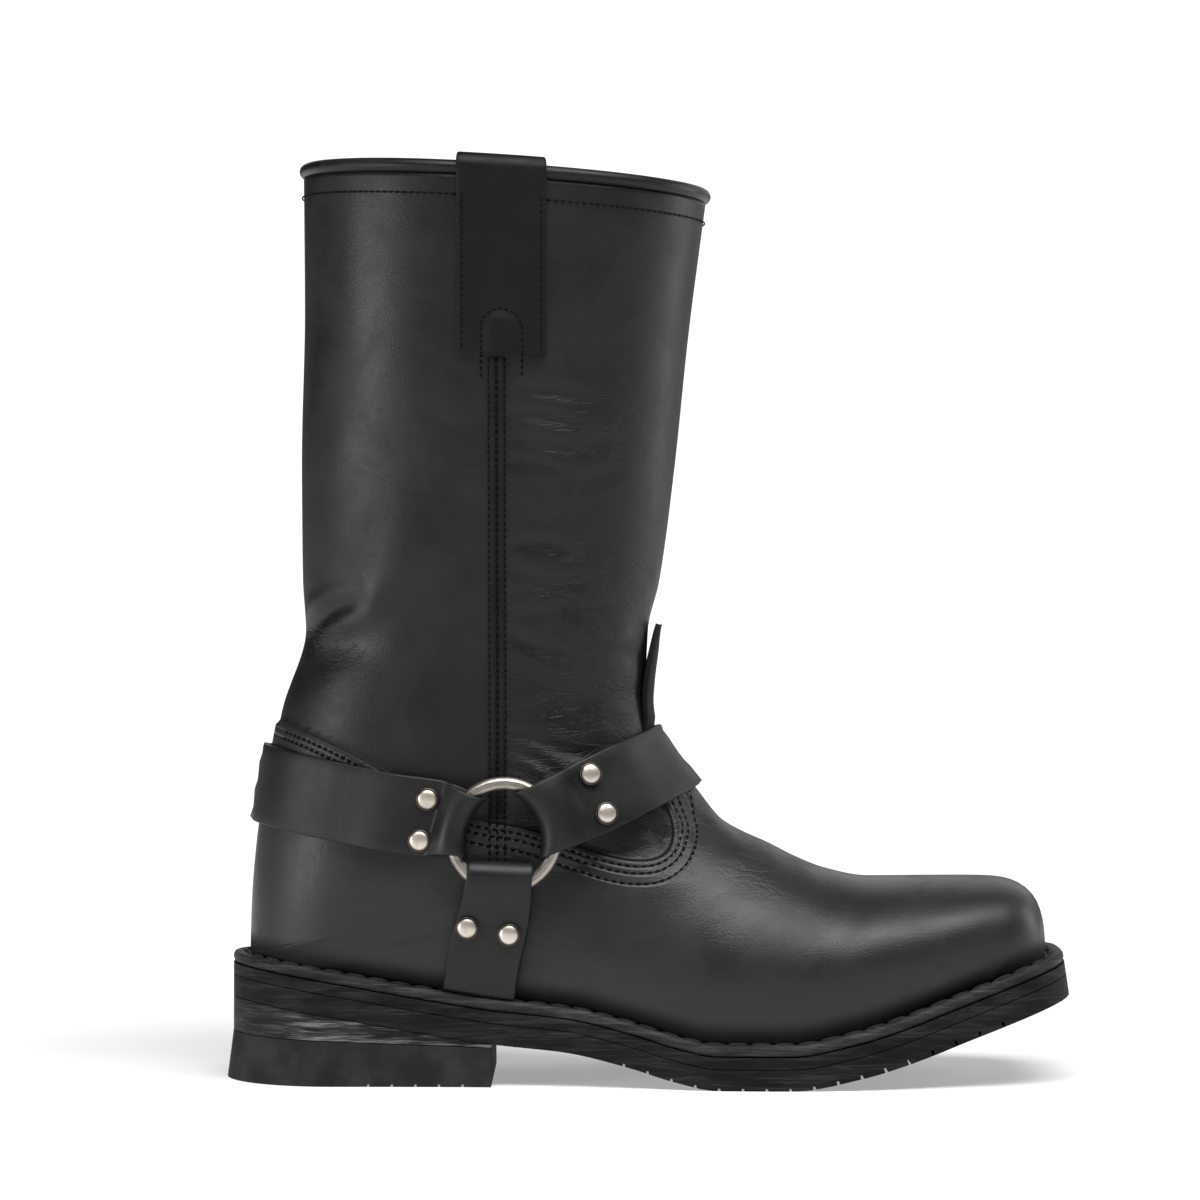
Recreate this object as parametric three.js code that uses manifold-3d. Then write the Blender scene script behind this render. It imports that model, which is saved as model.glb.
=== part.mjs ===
// A right harness boot: square toe, stitched welt, stacked heel, rings and riveted straps.
// Millimetres. X runs from heel to toe, the outer side is at -Y, and the floor is at Z = 0.
import * as THREE from "three";
import { mergeVertices } from "three/addons/utils/BufferGeometryUtils.js";
import Module from "manifold-3d";

const wasm = await Module();
wasm.setup();

// Foot of the upper, measured where it meets the welt
const FOOT_LENGTH = 286.5;
const BALL_WIDTH = 92;
const WAIST_WIDTH = 60;
const HEEL_WIDTH = 61;
const TOE_WIDTH = 78;
const TOE_REACH = 22;
const TOE_HEIGHT = 33.5;
const INSTEP_HEIGHT = 76;
// Shaft of the upper
const ANKLE_HEIGHT = 117;
const ANKLE_DEPTH = 125.5;
const ANKLE_WIDTH = 84;
const SHAFT_SET = 18.3;
const SHAFT_HEIGHT = 281;
const COLLAR_DEPTH = 146.5;
const COLLAR_WIDTH = 112;
const COLLAR_DROP = 9;
// Leather
const WALL = 2.2;
const VAMP_STEP = 1.2;
const STRAP_THICKNESS = 2.4;
// Sole
const WELT_WIDTH = 7.2;
const WELT_THICKNESS = 4;
const MIDSOLE_THICKNESS = 4;
const OUTSOLE_THICKNESS = 7.4;
const TOE_SPRING = 29;
const INSOLE_RISE = 2.5;
const LUG_DEPTH = 1.4;
const LUG_PITCH = 8.4;
const LUG_GAP = 2;
const LUG_REACH = 15;
// Heel
const HEEL_LENGTH = 97;
const LIFT_BACK = 17;
const LIFT_FRONT = 13.6;
const LIFT_FLARE = 2.2;
const WEDGE_BACK = 11.5;
const WEDGE_FRONT = 0.8;
// Harness
const RING_WIRE = 4.8;
const RING_OUTER = 41.8;
const RING_SET_BACK = 92.3;
const RING_HEIGHT = 89.5;
const HEEL_STRAP_WIDTH = 28;
const INSTEP_STRAP_WIDTH = 27;
const ARCH_STRAP_WIDTH = 26;
const FOLD_WIDTH = 20;
const HEEL_STRAP_ANGLE = 169;
const INSTEP_STRAP_ANGLE = 23.5;
const ARCH_STRAP_ANGLE = 261;
const HEEL_RIVET_REACH = 29;
const INSTEP_RIVET_REACH = 35;
const ARCH_RIVET_REACH = 34;
const RIVET_SPACING = 15;
const RIVET_CAP = 8;
const RIVET_RISE = 1.5;
const RIVET_RIM = 0.5;
// Collar and seams
const BINDING_WIDTH = 5.4;
const PULL_WIDTH = 31;
const PULL_LENGTH = 62;
const PULL_INSIDE = 38;
const PULL_THICKNESS = 2;
const SEAM_WIDTH = 5.8;
const SEAM_THICKNESS = 1.2;
const PULL_HOLD = 7;
const TONGUE_TIP = 2.5;
const TONGUE_WIDTH = 46;
const TONGUE_THICKNESS = 2;
const TONGUE_LEAN = 2.2;
// Clearances between pieces that touch
const GAP = 0.3;
const SEAT = 0.45;
const INSOLE_GAP = 2.7;
const FOLD_GAP = 0.75;
const RIVET_GAP = 0.4;

const OUTER = -1;
const INNER = 1;
const SIDES = [
  ["outer", OUTER],
  ["inner", INNER],
];

const mix = (a, b, share) => a + (b - a) * share;
const clamp = (value, low, high) => Math.min(Math.max(value, low), high);
const ease = (value) => value * value * (3 - 2 * value);
const radians = (degrees) => (degrees * Math.PI) / 180;
const vector = (x, y, z) => new THREE.Vector3(x, y, z);

// A smooth curve through rising keys that never overshoots its values.
function through(keys, values) {
  const last = keys.length - 1;
  const step = [];
  const slope = [];
  for (let i = 0; i < last; i++) {
    step.push(keys[i + 1] - keys[i]);
    slope.push((values[i + 1] - values[i]) / step[i]);
  }
  const tangent = keys.map((_, i) => {
    if (i === 0) return slope[0];
    if (i === last) return slope[last - 1];
    if (slope[i - 1] * slope[i] <= 0) return 0;
    const before = 2 * step[i] + step[i - 1];
    const after = step[i] + 2 * step[i - 1];
    return (before + after) / (before / slope[i - 1] + after / slope[i]);
  });
  return (key) => {
    const at = clamp(key, keys[0], keys[last]);
    let i = 0;
    while (i < last - 1 && at > keys[i + 1]) i++;
    const t = (at - keys[i]) / step[i];
    const start = (1 + 2 * t) * (1 - t) ** 2 * values[i] + t * (1 - t) ** 2 * step[i] * tangent[i];
    const end = t * t * (3 - 2 * t) * values[i + 1] + t * t * (t - 1) * step[i] * tangent[i + 1];
    return start + end;
  };
}

const column = (rows, name) => rows.map((row) => row[name]);
const table = (names, rows) => rows.map((row) => (
  Object.fromEntries(names.map((name, i) => [name, row[i]]))
));

// Sole line: height of the outsole's underside along the foot
const HEEL_BACK_RISE = LIFT_BACK + WEDGE_BACK + 2 * GAP;
const HEEL_FRONT_RISE = LIFT_FRONT + WEDGE_FRONT + 2 * GAP;
const BREAST = HEEL_LENGTH - WELT_WIDTH - LIFT_FLARE;
const UNDERSIDE = [
  { along: -0.04, rise: HEEL_BACK_RISE * 1.04 },
  { along: 0, rise: HEEL_BACK_RISE },
  { along: 0.34 * (BREAST / FOOT_LENGTH), rise: mix(HEEL_FRONT_RISE, HEEL_BACK_RISE, 0.68) },
  { along: 0.68 * (BREAST / FOOT_LENGTH), rise: mix(HEEL_FRONT_RISE, HEEL_BACK_RISE, 0.31) },
  { along: BREAST / FOOT_LENGTH, rise: HEEL_FRONT_RISE },
  { along: 0.4, rise: HEEL_FRONT_RISE * 0.82 },
  { along: 0.475, rise: HEEL_FRONT_RISE * 0.5 },
  { along: 0.535, rise: HEEL_FRONT_RISE * 0.17 },
  { along: 0.585, rise: 0 },
  { along: 0.675, rise: 0 },
  { along: 0.749, rise: TOE_SPRING * 0.13 },
  { along: 0.808, rise: TOE_SPRING * 0.3 },
  { along: 0.892, rise: TOE_SPRING * 0.61 },
  { along: 1, rise: TOE_SPRING },
  { along: 1.04, rise: TOE_SPRING * 1.12 },
];
const underside = through(
  UNDERSIDE.map((row) => row.along * FOOT_LENGTH),
  column(UNDERSIDE, "rise"),
);
const MIDSOLE_BASE = OUTSOLE_THICKNESS + GAP;
const WELT_BASE = MIDSOLE_BASE + MIDSOLE_THICKNESS + GAP;
const FEATHER_BASE = WELT_BASE + WELT_THICKNESS + GAP;
const feather = (x) => underside(x) + FEATHER_BASE;

// Plan of the foot where it meets the welt, as half widths on the outer and inner side
const TOE_PIVOT = FOOT_LENGTH - TOE_REACH;
const TOE_CORNER = 3.4;
const TOE_TAPER = 0.13;
const TAPERING = mix(BALL_WIDTH, TOE_WIDTH, 0.6);
const PLAN = [
  { along: 0, outer: HEEL_WIDTH * 0.5, inner: HEEL_WIDTH * 0.5 },
  { along: 0.12, outer: HEEL_WIDTH * 0.5, inner: HEEL_WIDTH * 0.5 },
  { along: 0.25, outer: HEEL_WIDTH * 0.51, inner: HEEL_WIDTH * 0.48 },
  { along: 0.38, outer: WAIST_WIDTH * 0.57, inner: WAIST_WIDTH * 0.46 },
  { along: 0.5, outer: BALL_WIDTH * 0.435, inner: BALL_WIDTH * 0.36 },
  { along: 0.6, outer: BALL_WIDTH * 0.5, inner: BALL_WIDTH * 0.46 },
  { along: 0.68, outer: BALL_WIDTH * 0.51, inner: BALL_WIDTH * 0.49 },
  { along: 0.76, outer: BALL_WIDTH * 0.5, inner: BALL_WIDTH * 0.495 },
  { along: 0.85, outer: TAPERING * 0.495, inner: TAPERING * 0.513 },
  { along: TOE_PIVOT / FOOT_LENGTH, outer: TOE_WIDTH * 0.49, inner: TOE_WIDTH * 0.515 },
];
const planKeys = PLAN.map((row) => row.along * FOOT_LENGTH);
const planHalf = {
  [OUTER]: through(planKeys, column(PLAN, "outer")),
  [INNER]: through(planKeys, column(PLAN, "inner")),
};
function plan(x, side) {
  const heel = HEEL_WIDTH / 2;
  const round = x < heel ? Math.sqrt(Math.max(0, 1 - (1 - x / heel) ** 2)) : 1;
  const reach = clamp((x - TOE_PIVOT) / TOE_REACH, 0, 1);
  const square = (1 - TOE_TAPER * reach) * (1 - reach ** TOE_CORNER) ** (1 / TOE_CORNER);
  return planHalf[side](x) * round * square;
}

// Sections of the upper. Each lies in a plane across the boot, from a base point behind or below
// to a ridge point in front or on top. Half widths swell from the base to the belly and close at
// the ridge. Toe rows turn about the toe pivot, foot rows stand on the feather line, heel rows
// climb the back of the heel, and shaft rows are closed loops up to the collar.
const toeTop = feather(TOE_PIVOT) + TOE_HEIGHT;
const TOE_ROWS = table(
  ["reach", "height", "swell", "belly", "high", "crown", "taper", "steps"],
  [
    [1, 0, 1, 0, 3.4, 3.4, TOE_TAPER, 2],
    [0.985, 0.5, 1.03, 0.06, 3.3, 3.2, 0.12, 1],
    [0.92, 0.745, 1.05, 0.12, 3.1, 2.9, 0.1, 1],
    [0.8, 0.925, 1.06, 0.2, 3.1, 2.6, 0.06, 1],
    [0.5, 0.995, 1.06, 0.27, 3, 2.5, 0.02, 1],
  ],
);
const FOOT_ROWS = table(
  ["front", "height", "back", "outer", "inner", "belly", "low", "high", "crown", "steps"],
  [
    [0.915, 0.03, 0.883, 0.475, 0.475, 0.32, 2, 2.9, 2.4, 2],
    [0.861, 0.17, 0.81, 0.51, 0.5, 0.34, 2, 2.6, 2.2, 2],
    [0.785, 0.35, 0.709, 0.54, 0.52, 0.36, 2, 2.3, 2, 2],
    [0.727, 0.52, 0.576, 0.535, 0.505, 0.38, 2, 2.1, 1.9, 3],
    [0.688, 0.67, 0.419, 0.485, 0.455, 0.45, 1.9, 2.1, 1.9, 2],
    [0.651, 0.8, 0.244, 0.44, 0.42, 0.55, 1.8, 2.1, 1.9, 2],
    [0.621, 0.89, 0.087, 0.422, 0.412, 0.6, 1.8, 2.1, 1.9, 4],
    [0.593, 1, 0, 0.418, 0.412, 0.62, 4.2, 2.1, 1.9, 2],
  ],
);
const HEEL_ROWS = table(
  ["front", "height", "back", "climb", "width", "belly", "low", "steps"],
  [
    [0.63, 0.167, 0.03, 0.16, 0.94, 0.62, 3.9, 2],
    [0.29, 0.33, 0.12, 0.335, 0.93, 0.6, 3.5, 2],
    [0.04, 0.48, 0.3, 0.53, 0.93, 0.57, 3, 2],
    [-0.03, 0.68, 0.57, 0.75, 0.95, 0.53, 2.6, 2],
  ],
);
const SHAFT_ROWS = table(
  ["up", "set", "depth", "width", "belly", "steps"],
  [
    [0, 1.04, 0, 0, 0.5, 2],
    [0.11, 0.98, 0.19, 0.17, 0.5, 2],
    [0.38, 0.96, 0.46, 0.5, 0.5, 2],
    [0.7, 1.02, 0.71, 0.79, 0.49, 3],
    [1, 1, 1, 1, 0.48, 0],
  ],
);
const SEAT_HEIGHT = feather(0);
const instepFront = FOOT_ROWS[FOOT_ROWS.length - 1].front * FOOT_LENGTH;
const instep = { front: instepFront, top: feather(instepFront) + INSTEP_HEIGHT };
const ankle = { front: SHAFT_SET + ANKLE_DEPTH, top: SEAT_HEIGHT + ANKLE_HEIGHT };

function toeRow(row) {
  return {
    front: TOE_PIVOT + row.reach * TOE_REACH,
    top: mix(feather(FOOT_LENGTH), toeTop, row.height),
    back: TOE_PIVOT,
    climb: 0,
    outer: planHalf[OUTER](TOE_PIVOT) * row.swell,
    inner: planHalf[INNER](TOE_PIVOT) * row.swell,
    belly: row.belly,
    low: 2.2,
    high: row.high,
    crown: row.crown,
    taper: row.taper,
    steps: row.steps,
  };
}
function footRow(row) {
  const front = row.front * FOOT_LENGTH;
  return {
    front,
    top: feather(front) + mix(TOE_HEIGHT, INSTEP_HEIGHT, row.height),
    back: row.back * FOOT_LENGTH,
    climb: 0,
    outer: row.outer * BALL_WIDTH,
    inner: row.inner * BALL_WIDTH,
    belly: row.belly,
    low: row.low,
    high: row.high,
    crown: row.crown,
    taper: 0,
    steps: row.steps,
  };
}
function heelRow(row) {
  return {
    front: mix(ankle.front, instep.front, row.front),
    top: mix(instep.top, ankle.top, row.height),
    back: row.back * SHAFT_SET,
    climb: row.climb * ANKLE_HEIGHT,
    outer: (row.width * ANKLE_WIDTH) / 2,
    inner: (row.width * ANKLE_WIDTH) / 2,
    belly: row.belly,
    low: row.low,
    high: 2.1,
    crown: 1.9,
    taper: 0,
    steps: row.steps,
  };
}
function shaftRow(row) {
  const climb = mix(ANKLE_HEIGHT, SHAFT_HEIGHT, row.up);
  const half = mix(ANKLE_WIDTH, COLLAR_WIDTH, row.width) / 2;
  return {
    front: SHAFT_SET + mix(ANKLE_DEPTH, COLLAR_DEPTH, row.depth),
    top: SEAT_HEIGHT + climb - COLLAR_DROP * row.up,
    back: SHAFT_SET * row.set,
    climb,
    outer: half,
    inner: half,
    belly: row.belly,
    low: 2.2,
    high: 2.1,
    crown: 2,
    taper: 0,
    steps: row.steps,
  };
}
const KEY_ROWS = [
  ...TOE_ROWS.map(toeRow),
  ...FOOT_ROWS.map(footRow),
  ...HEEL_ROWS.map(heelRow),
  ...SHAFT_ROWS.map(shaftRow),
];
const rowKeys = [0];
KEY_ROWS.slice(1).forEach((row, i) => {
  const from = KEY_ROWS[i];
  const ridge = Math.hypot(row.front - from.front, row.top - from.top);
  const base = Math.hypot(row.back - from.back, row.climb - from.climb);
  rowKeys.push(rowKeys[i] + (ridge + base) / 2);
});
const COLUMNS = [
  "front", "top", "back", "climb", "outer", "inner", "belly", "low", "high", "crown", "taper",
];
const rowCurves = COLUMNS.map((name) => [name, through(rowKeys, column(KEY_ROWS, name))]);
const EASE_AT_WELT = 1;

// The section at one key, with its base on the feather line or up the back.
function sectionAt(key) {
  const row = Object.fromEntries(rowCurves.map(([name, curve]) => [name, curve(key)]));
  row.closed = row.climb > 0;
  row.base = row.closed ? SEAT_HEIGHT + row.climb : feather(row.back);
  row.foot = {
    [OUTER]: row.closed ? 0 : plan(row.back, OUTER),
    [INNER]: row.closed ? 0 : plan(row.back, INNER),
  };
  return row;
}
// Half width of a section at a share of the way from base to ridge.
function halfWidth(row, share, side) {
  const widest = side === OUTER ? row.outer : row.inner;
  const foot = row.foot[side];
  const narrow = 1 - row.taper * share;
  if (share < row.belly) {
    const fall = 1 - share / row.belly;
    const power = mix(2, EASE_AT_WELT, clamp(foot / widest, 0, 1));
    return (foot + (widest - foot) * (1 - fall ** row.low) ** (1 / power)) * narrow;
  }
  const climb = (share - row.belly) / (1 - row.belly);
  return widest * Math.max(0, 1 - climb ** row.high) ** (1 / row.crown) * narrow;
}
const onSection = (row, share, side) =>
  vector(
    mix(row.back, row.front, share),
    side * halfWidth(row, share, side),
    mix(row.base, row.top, share),
  );

// Points of a section at even lengths, from the outer base over the ridge to the inner base.
const SAMPLES = 90;
function sectionPoints(row, count) {
  const shares = [];
  for (let i = 0; i <= SAMPLES; i++) {
    const turn = (i / SAMPLES) * Math.PI;
    shares.push(row.belly > 0 && turn < Math.PI / 2
      ? row.belly * (1 - Math.cos(turn) ** (2 / row.low))
      : row.belly + (1 - row.belly) * Math.max(0, Math.sin(turn - Math.PI / 2)) ** (2 / row.high));
  }
  const line = [
    ...shares.map((share) => onSection(row, share, OUTER)),
    ...shares.slice(0, -1).reverse().map((share) => onSection(row, share, INNER)),
  ];
  return evenly(line, count);
}
function evenly(line, count) {
  const lengths = [0];
  for (let i = 1; i < line.length; i++) lengths.push(lengths[i - 1] + line[i].distanceTo(line[i - 1]));
  const total = lengths[line.length - 1];
  const points = [];
  let at = 0;
  for (let i = 0; i < count; i++) {
    const want = (total * i) / (count - 1);
    while (at < line.length - 2 && lengths[at + 1] < want) at++;
    const span = lengths[at + 1] - lengths[at] || 1;
    points.push(line[at].clone().lerp(line[at + 1], clamp((want - lengths[at]) / span, 0, 1)));
  }
  return points;
}

// The grid of the upper: rows from the toe to the collar, each a list of points.
const COUNT = 29;
const MIDDLE = (COUNT - 1) / 2;
const gridKeys = [];
KEY_ROWS.forEach((row, i) => {
  for (let k = 0; k < row.steps; k++) gridKeys.push(mix(rowKeys[i], rowKeys[i + 1], k / row.steps));
});
gridKeys.push(rowKeys[rowKeys.length - 1]);
const gridRows = gridKeys.map(sectionAt);
const GRID = gridRows.map((row) => sectionPoints(row, COUNT));
const HEEL_ROW = gridRows.findIndex((row) => row.closed) - 1;
const COLLAR_ROW = GRID.length - 1;

function gridNormal(i, j) {
  const closed = i >= HEEL_ROW;
  const before = i === HEEL_ROW ? GRID[i] : GRID[Math.max(i - 1, 0)];
  const after = GRID[Math.min(i + 1, COLLAR_ROW)];
  const wrapped = (k) => (closed ? (k + COUNT - 1) % (COUNT - 1) : clamp(k, 0, COUNT - 1));
  const k = closed ? j % (COUNT - 1) : j;
  const along = after[k].clone().sub(before[k]);
  const around = GRID[i][wrapped(k + 1)].clone().sub(GRID[i][wrapped(k - 1)]);
  const normal = around.cross(along).normalize();
  const atToe = i === 0;
  const atWelt = !closed && (j === 0 || j === COUNT - 1);
  const turnsUnder = normal.z < 0;
  if (atToe || atWelt || turnsUnder) normal.setZ(0).normalize();
  if (i === COLLAR_ROW) normal.setZ(-normal.x * (COLLAR_DROP / COLLAR_DEPTH)).normalize();
  return normal;
}
const NORMALS = GRID.map((row, i) => row.map((_, j) => gridNormal(i, j)));

// A closed body from loose triangles.
class Facets {
  constructor() {
    this.points = [];
  }
  triangle(a, b, c) {
    this.points.push(a.x, a.y, a.z, b.x, b.y, b.z, c.x, c.y, c.z);
  }
  quad(a, b, c, d) {
    this.triangle(a, b, c);
    this.triangle(a, c, d);
  }
  // A lid over two rails of points.
  lid(rails, flip) {
    for (let i = 1; i < rails.length; i++) {
      const [a, b] = rails[i - 1];
      const [c, d] = rails[i];
      if (flip) this.quad(a, b, d, c);
      else this.quad(a, c, d, b);
    }
  }
  body() {
    const geometry = new THREE.BufferGeometry();
    geometry.setAttribute("position", new THREE.Float32BufferAttribute(this.points, 3));
    return solid(geometry);
  }
}
// A manifold body of a geometry whose triangles close, turned to face out.
function solid(geometry) {
  const bare = new THREE.BufferGeometry().setAttribute("position", geometry.getAttribute("position"));
  if (geometry.index) bare.setIndex(geometry.index);
  const merged = mergeVertices(bare, 1e-3);
  const place = merged.getAttribute("position");
  const corners = merged.index.array;
  const kept = [];
  let volume = 0;
  const corner = [vector(), vector(), vector()];
  for (let i = 0; i < corners.length; i += 3) {
    const three = [corners[i], corners[i + 1], corners[i + 2]];
    if (new Set(three).size < 3) continue;
    kept.push(...three);
    three.forEach((at, k) => corner[k].fromBufferAttribute(place, at));
    volume += corner[0].dot(corner[1].clone().cross(corner[2]));
  }
  if (volume < 0) for (let i = 0; i < kept.length; i += 3) [kept[i], kept[i + 1]] = [kept[i + 1], kept[i]];
  const mesh = new wasm.Mesh({
    numProp: 3,
    vertProperties: new Float32Array(place.array),
    triVerts: new Uint32Array(kept),
  });
  return new wasm.Manifold(mesh);
}
function geometryOf(body) {
  const { vertProperties, triVerts } = body.getMesh();
  const geometry = new THREE.BufferGeometry();
  geometry.setAttribute("position", new THREE.Float32BufferAttribute(vertProperties, 3));
  geometry.setIndex(new THREE.BufferAttribute(new Uint32Array(triVerts), 1));
  const shaded = geometry.toNonIndexed();
  shaded.computeVertexNormals();
  return shaded;
}

// A filled form of the upper, set out from its surface, and longer past the collar and the welt.
function form(offset, extra) {
  const setOut = (point, i, j) => point.clone().addScaledVector(NORMALS[i][j], offset);
  const grid = GRID.map((row, i) => row.map((point, j) => setOut(point, i, j)));
  const facets = new Facets();
  for (let i = 0; i < COLLAR_ROW; i++) {
    for (let j = 0; j < COUNT - 1; j++) {
      facets.quad(grid[i][j], grid[i + 1][j], grid[i + 1][j + 1], grid[i][j + 1]);
    }
  }
  const welt = [];
  for (let j = MIDDLE; j >= 0; j--) welt.push([grid[0][j], grid[0][COUNT - 1 - j]]);
  for (let i = 1; i <= HEEL_ROW; i++) welt.push([grid[i][0], grid[i][COUNT - 1]]);
  const collar = [];
  for (let j = MIDDLE; j >= 0; j--) collar.push([grid[COLLAR_ROW][j], grid[COLLAR_ROW][COUNT - 1 - j]]);
  const down = vector(0, 0, -extra);
  finish(facets, welt, down, true);
  finish(facets, collar, offset < 0 ? down.clone().negate() : vector(), false);
  return facets.body();
}
// Carries the edge on by a short wall and closes it.
function finish(facets, rails, move, flip) {
  const moved = rails.map(([a, b]) => [a.clone().add(move), b.clone().add(move)]);
  const walled = move.length() > 0;
  for (let i = 1; walled && i < rails.length; i++) {
    const [a, b] = rails[i - 1];
    const [c, d] = rails[i];
    const [e, f] = moved[i - 1];
    const [g, h] = moved[i];
    if (flip) {
      facets.quad(a, e, g, c);
      facets.quad(b, d, h, f);
    } else {
      facets.quad(a, c, g, e);
      facets.quad(b, f, h, d);
    }
  }
  facets.lid(walled ? moved : rails, flip);
}

// Top edge of vamp and counter, seen from the side, from behind the heel to over the instep.
// Its places are shares of the foot's length along, and of the ankle's height up from the seat.
const VAMP_EDGE = table(
  ["along", "up"],
  [
    [-0.1, 0.78],
    [0.04, 0.717],
    [0.143, 0.611],
    [0.22, 0.49],
    [0.283, 0.42],
    [0.35, 0.4],
    [0.412, 0.341],
    [0.453, 0.307],
    [0.485, 0.293],
    [0.512, 0.297],
    [0.529, 0.327],
    [0.534, 0.375],
    [0.53, 0.43],
    [0.519, 0.48],
    [0.505, 0.56],
    [0.5, 0.66],
    [0.62, 0.9],
    [1.1, 0.9],
    [1.1, -0.6],
    [-0.1, -0.6],
  ],
);
function vampRegion() {
  const corner = ({ along, up }) => new THREE.Vector2(along * FOOT_LENGTH, SEAT_HEIGHT + up * ANKLE_HEIGHT);
  const outline = new THREE.Shape(VAMP_EDGE.map(corner));
  const across = 2 * BALL_WIDTH;
  const slab = new THREE.ExtrudeGeometry(outline, { depth: across, bevelEnabled: false });
  slab.rotateX(Math.PI / 2);
  slab.translate(0, across / 2, 0);
  return solid(slab);
}
// The upper's shell, without the slivers that the two forms leave where they meet at the toe.
function upper() {
  const below = 2 * WALL;
  const outside = form(0, below).add(form(VAMP_STEP, below).intersect(vampRegion()));
  const hollow = outside.subtract(form(-WALL, 2 * below));
  const bodies = hollow.subtract(trimming()).decompose();
  return bodies.reduce((largest, body) => (body.volume() > largest.volume() ? body : largest));
}

// Queries on the outer surface, from the side and round the boot
const FINE_ROWS = 240;
const fineRows = [];
const lastKey = rowKeys[rowKeys.length - 1];
for (let i = 0; i <= FINE_ROWS; i++) fineRows.push(sectionAt((lastKey * i) / FINE_ROWS));
const beside = ({ front, back, top, base }, x, z) => (front - back) * (z - base) - (top - base) * (x - back);

// Half width of the boot at a point of its side view.
function flank(x, z, side) {
  let low = 0;
  let high = FINE_ROWS;
  if (beside(fineRows[low], x, z) < 0) return 0;
  while (high - low > 1) {
    const at = (low + high) >> 1;
    if (beside(fineRows[at], x, z) >= 0) low = at;
    else high = at;
  }
  const [under, over] = [fineRows[low], fineRows[high]];
  const below = beside(under, x, z);
  const above = beside(over, x, z);
  const t = clamp(below / (below - above || 1), 0, 1);
  const half = (row) => {
    const [dx, dz] = [row.front - row.back, row.top - row.base];
    const share = ((x - row.back) * dx + (z - row.base) * dz) / (dx * dx + dz * dz);
    return share > 1 ? 0 : halfWidth(row, Math.max(share, 0), side);
  };
  return mix(half(under), half(over), t);
}

// A point on the outer surface given in the side view, with its outward normal.
const PROBE = 0.5;
function onFlank(x, z, side) {
  const across = flank(x, z, side);
  const slopeX = (flank(x + PROBE, z, side) - flank(x - PROBE, z, side)) / (2 * PROBE);
  const slopeZ = (flank(x, z + PROBE, side) - flank(x, z - PROBE, side)) / (2 * PROBE);
  return { point: vector(x, side * across, z), normal: vector(-slopeX, side, -slopeZ).normalize() };
}

// Sole layers. Stations pair an outer and an inner point of the plan, set out by a margin.
const HEEL_STATIONS = 6;
const BODY_STATIONS = 16;
const TOE_STATIONS = 6;
const SPRING_LEAN = 0.5;
const SPRING_SPAN = 8;
const LEAST_STEP = 1;
function stationPlaces() {
  const heel = HEEL_WIDTH / 2;
  const places = [];
  for (let k = 0; k < HEEL_STATIONS; k++) {
    places.push(heel * (1 - Math.cos((k / HEEL_STATIONS) * (Math.PI / 2))));
  }
  for (let k = 0; k < BODY_STATIONS; k++) places.push(mix(heel, TOE_PIVOT, k / BODY_STATIONS));
  for (let k = 0; k <= TOE_STATIONS; k++) {
    places.push(TOE_PIVOT + TOE_REACH * Math.sin((k / TOE_STATIONS) * (Math.PI / 2)) ** (2 / TOE_CORNER));
  }
  return places;
}
const PLACES = stationPlaces();
function outline(margin, until = Infinity) {
  const point = (k, side) => new THREE.Vector2(PLACES[k], side * plan(PLACES[k], side));
  const last = PLACES.length - 1;
  const rails = PLACES.map((_, k) => SIDES.map(([, side]) => {
    const before = k > 0 ? point(k - 1, side) : point(1, -side);
    const after = k < last ? point(k + 1, side) : point(last - 1, -side);
    const along = after.sub(before).normalize();
    return point(k, side).add(new THREE.Vector2(-along.y * side, along.x * side).multiplyScalar(margin));
  }));
  if (until > FOOT_LENGTH) return rails;
  const kept = rails.filter(([outer, inner]) => Math.max(outer.x, inner.x) < until - LEAST_STEP);
  kept.push(SIDES.map(([, side]) => new THREE.Vector2(until, side * (plan(until, side) + margin))));
  return kept;
}
// A layer between two heights over the plan, whose front edge leans with the toe spring.
function layer({ top, bottom, margin, flare = 0, until }) {
  const climb = (x) => feather(x + SPRING_SPAN / 2) - feather(x - SPRING_SPAN / 2);
  const lean = (x) => SPRING_LEAN * Math.max(0, climb(x) / SPRING_SPAN);
  const raise = (rails, height) => rails.map((pair) => pair.map((at) => {
    const z = height(at.x);
    return vector(at.x + lean(at.x) * (feather(at.x) - z), at.y, z);
  }));
  const over = raise(outline(margin, until), top);
  const under = raise(outline(margin + flare, until), bottom);
  const facets = new Facets();
  facets.lid(over, false);
  facets.lid(under, true);
  for (let i = 1; i < over.length; i++) {
    facets.quad(over[i][0], over[i - 1][0], under[i - 1][0], under[i][0]);
    facets.quad(over[i - 1][1], over[i][1], under[i][1], under[i - 1][1]);
  }
  const end = over.length - 1;
  facets.quad(over[end][1], over[end][0], under[end][0], under[end][1]);
  return facets.body();
}
const above = (rise) => (x) => underside(x) + rise;
const liftTop = (x) => mix(LIFT_BACK, LIFT_FRONT, (x + WELT_WIDTH) / (BREAST + WELT_WIDTH));

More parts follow.
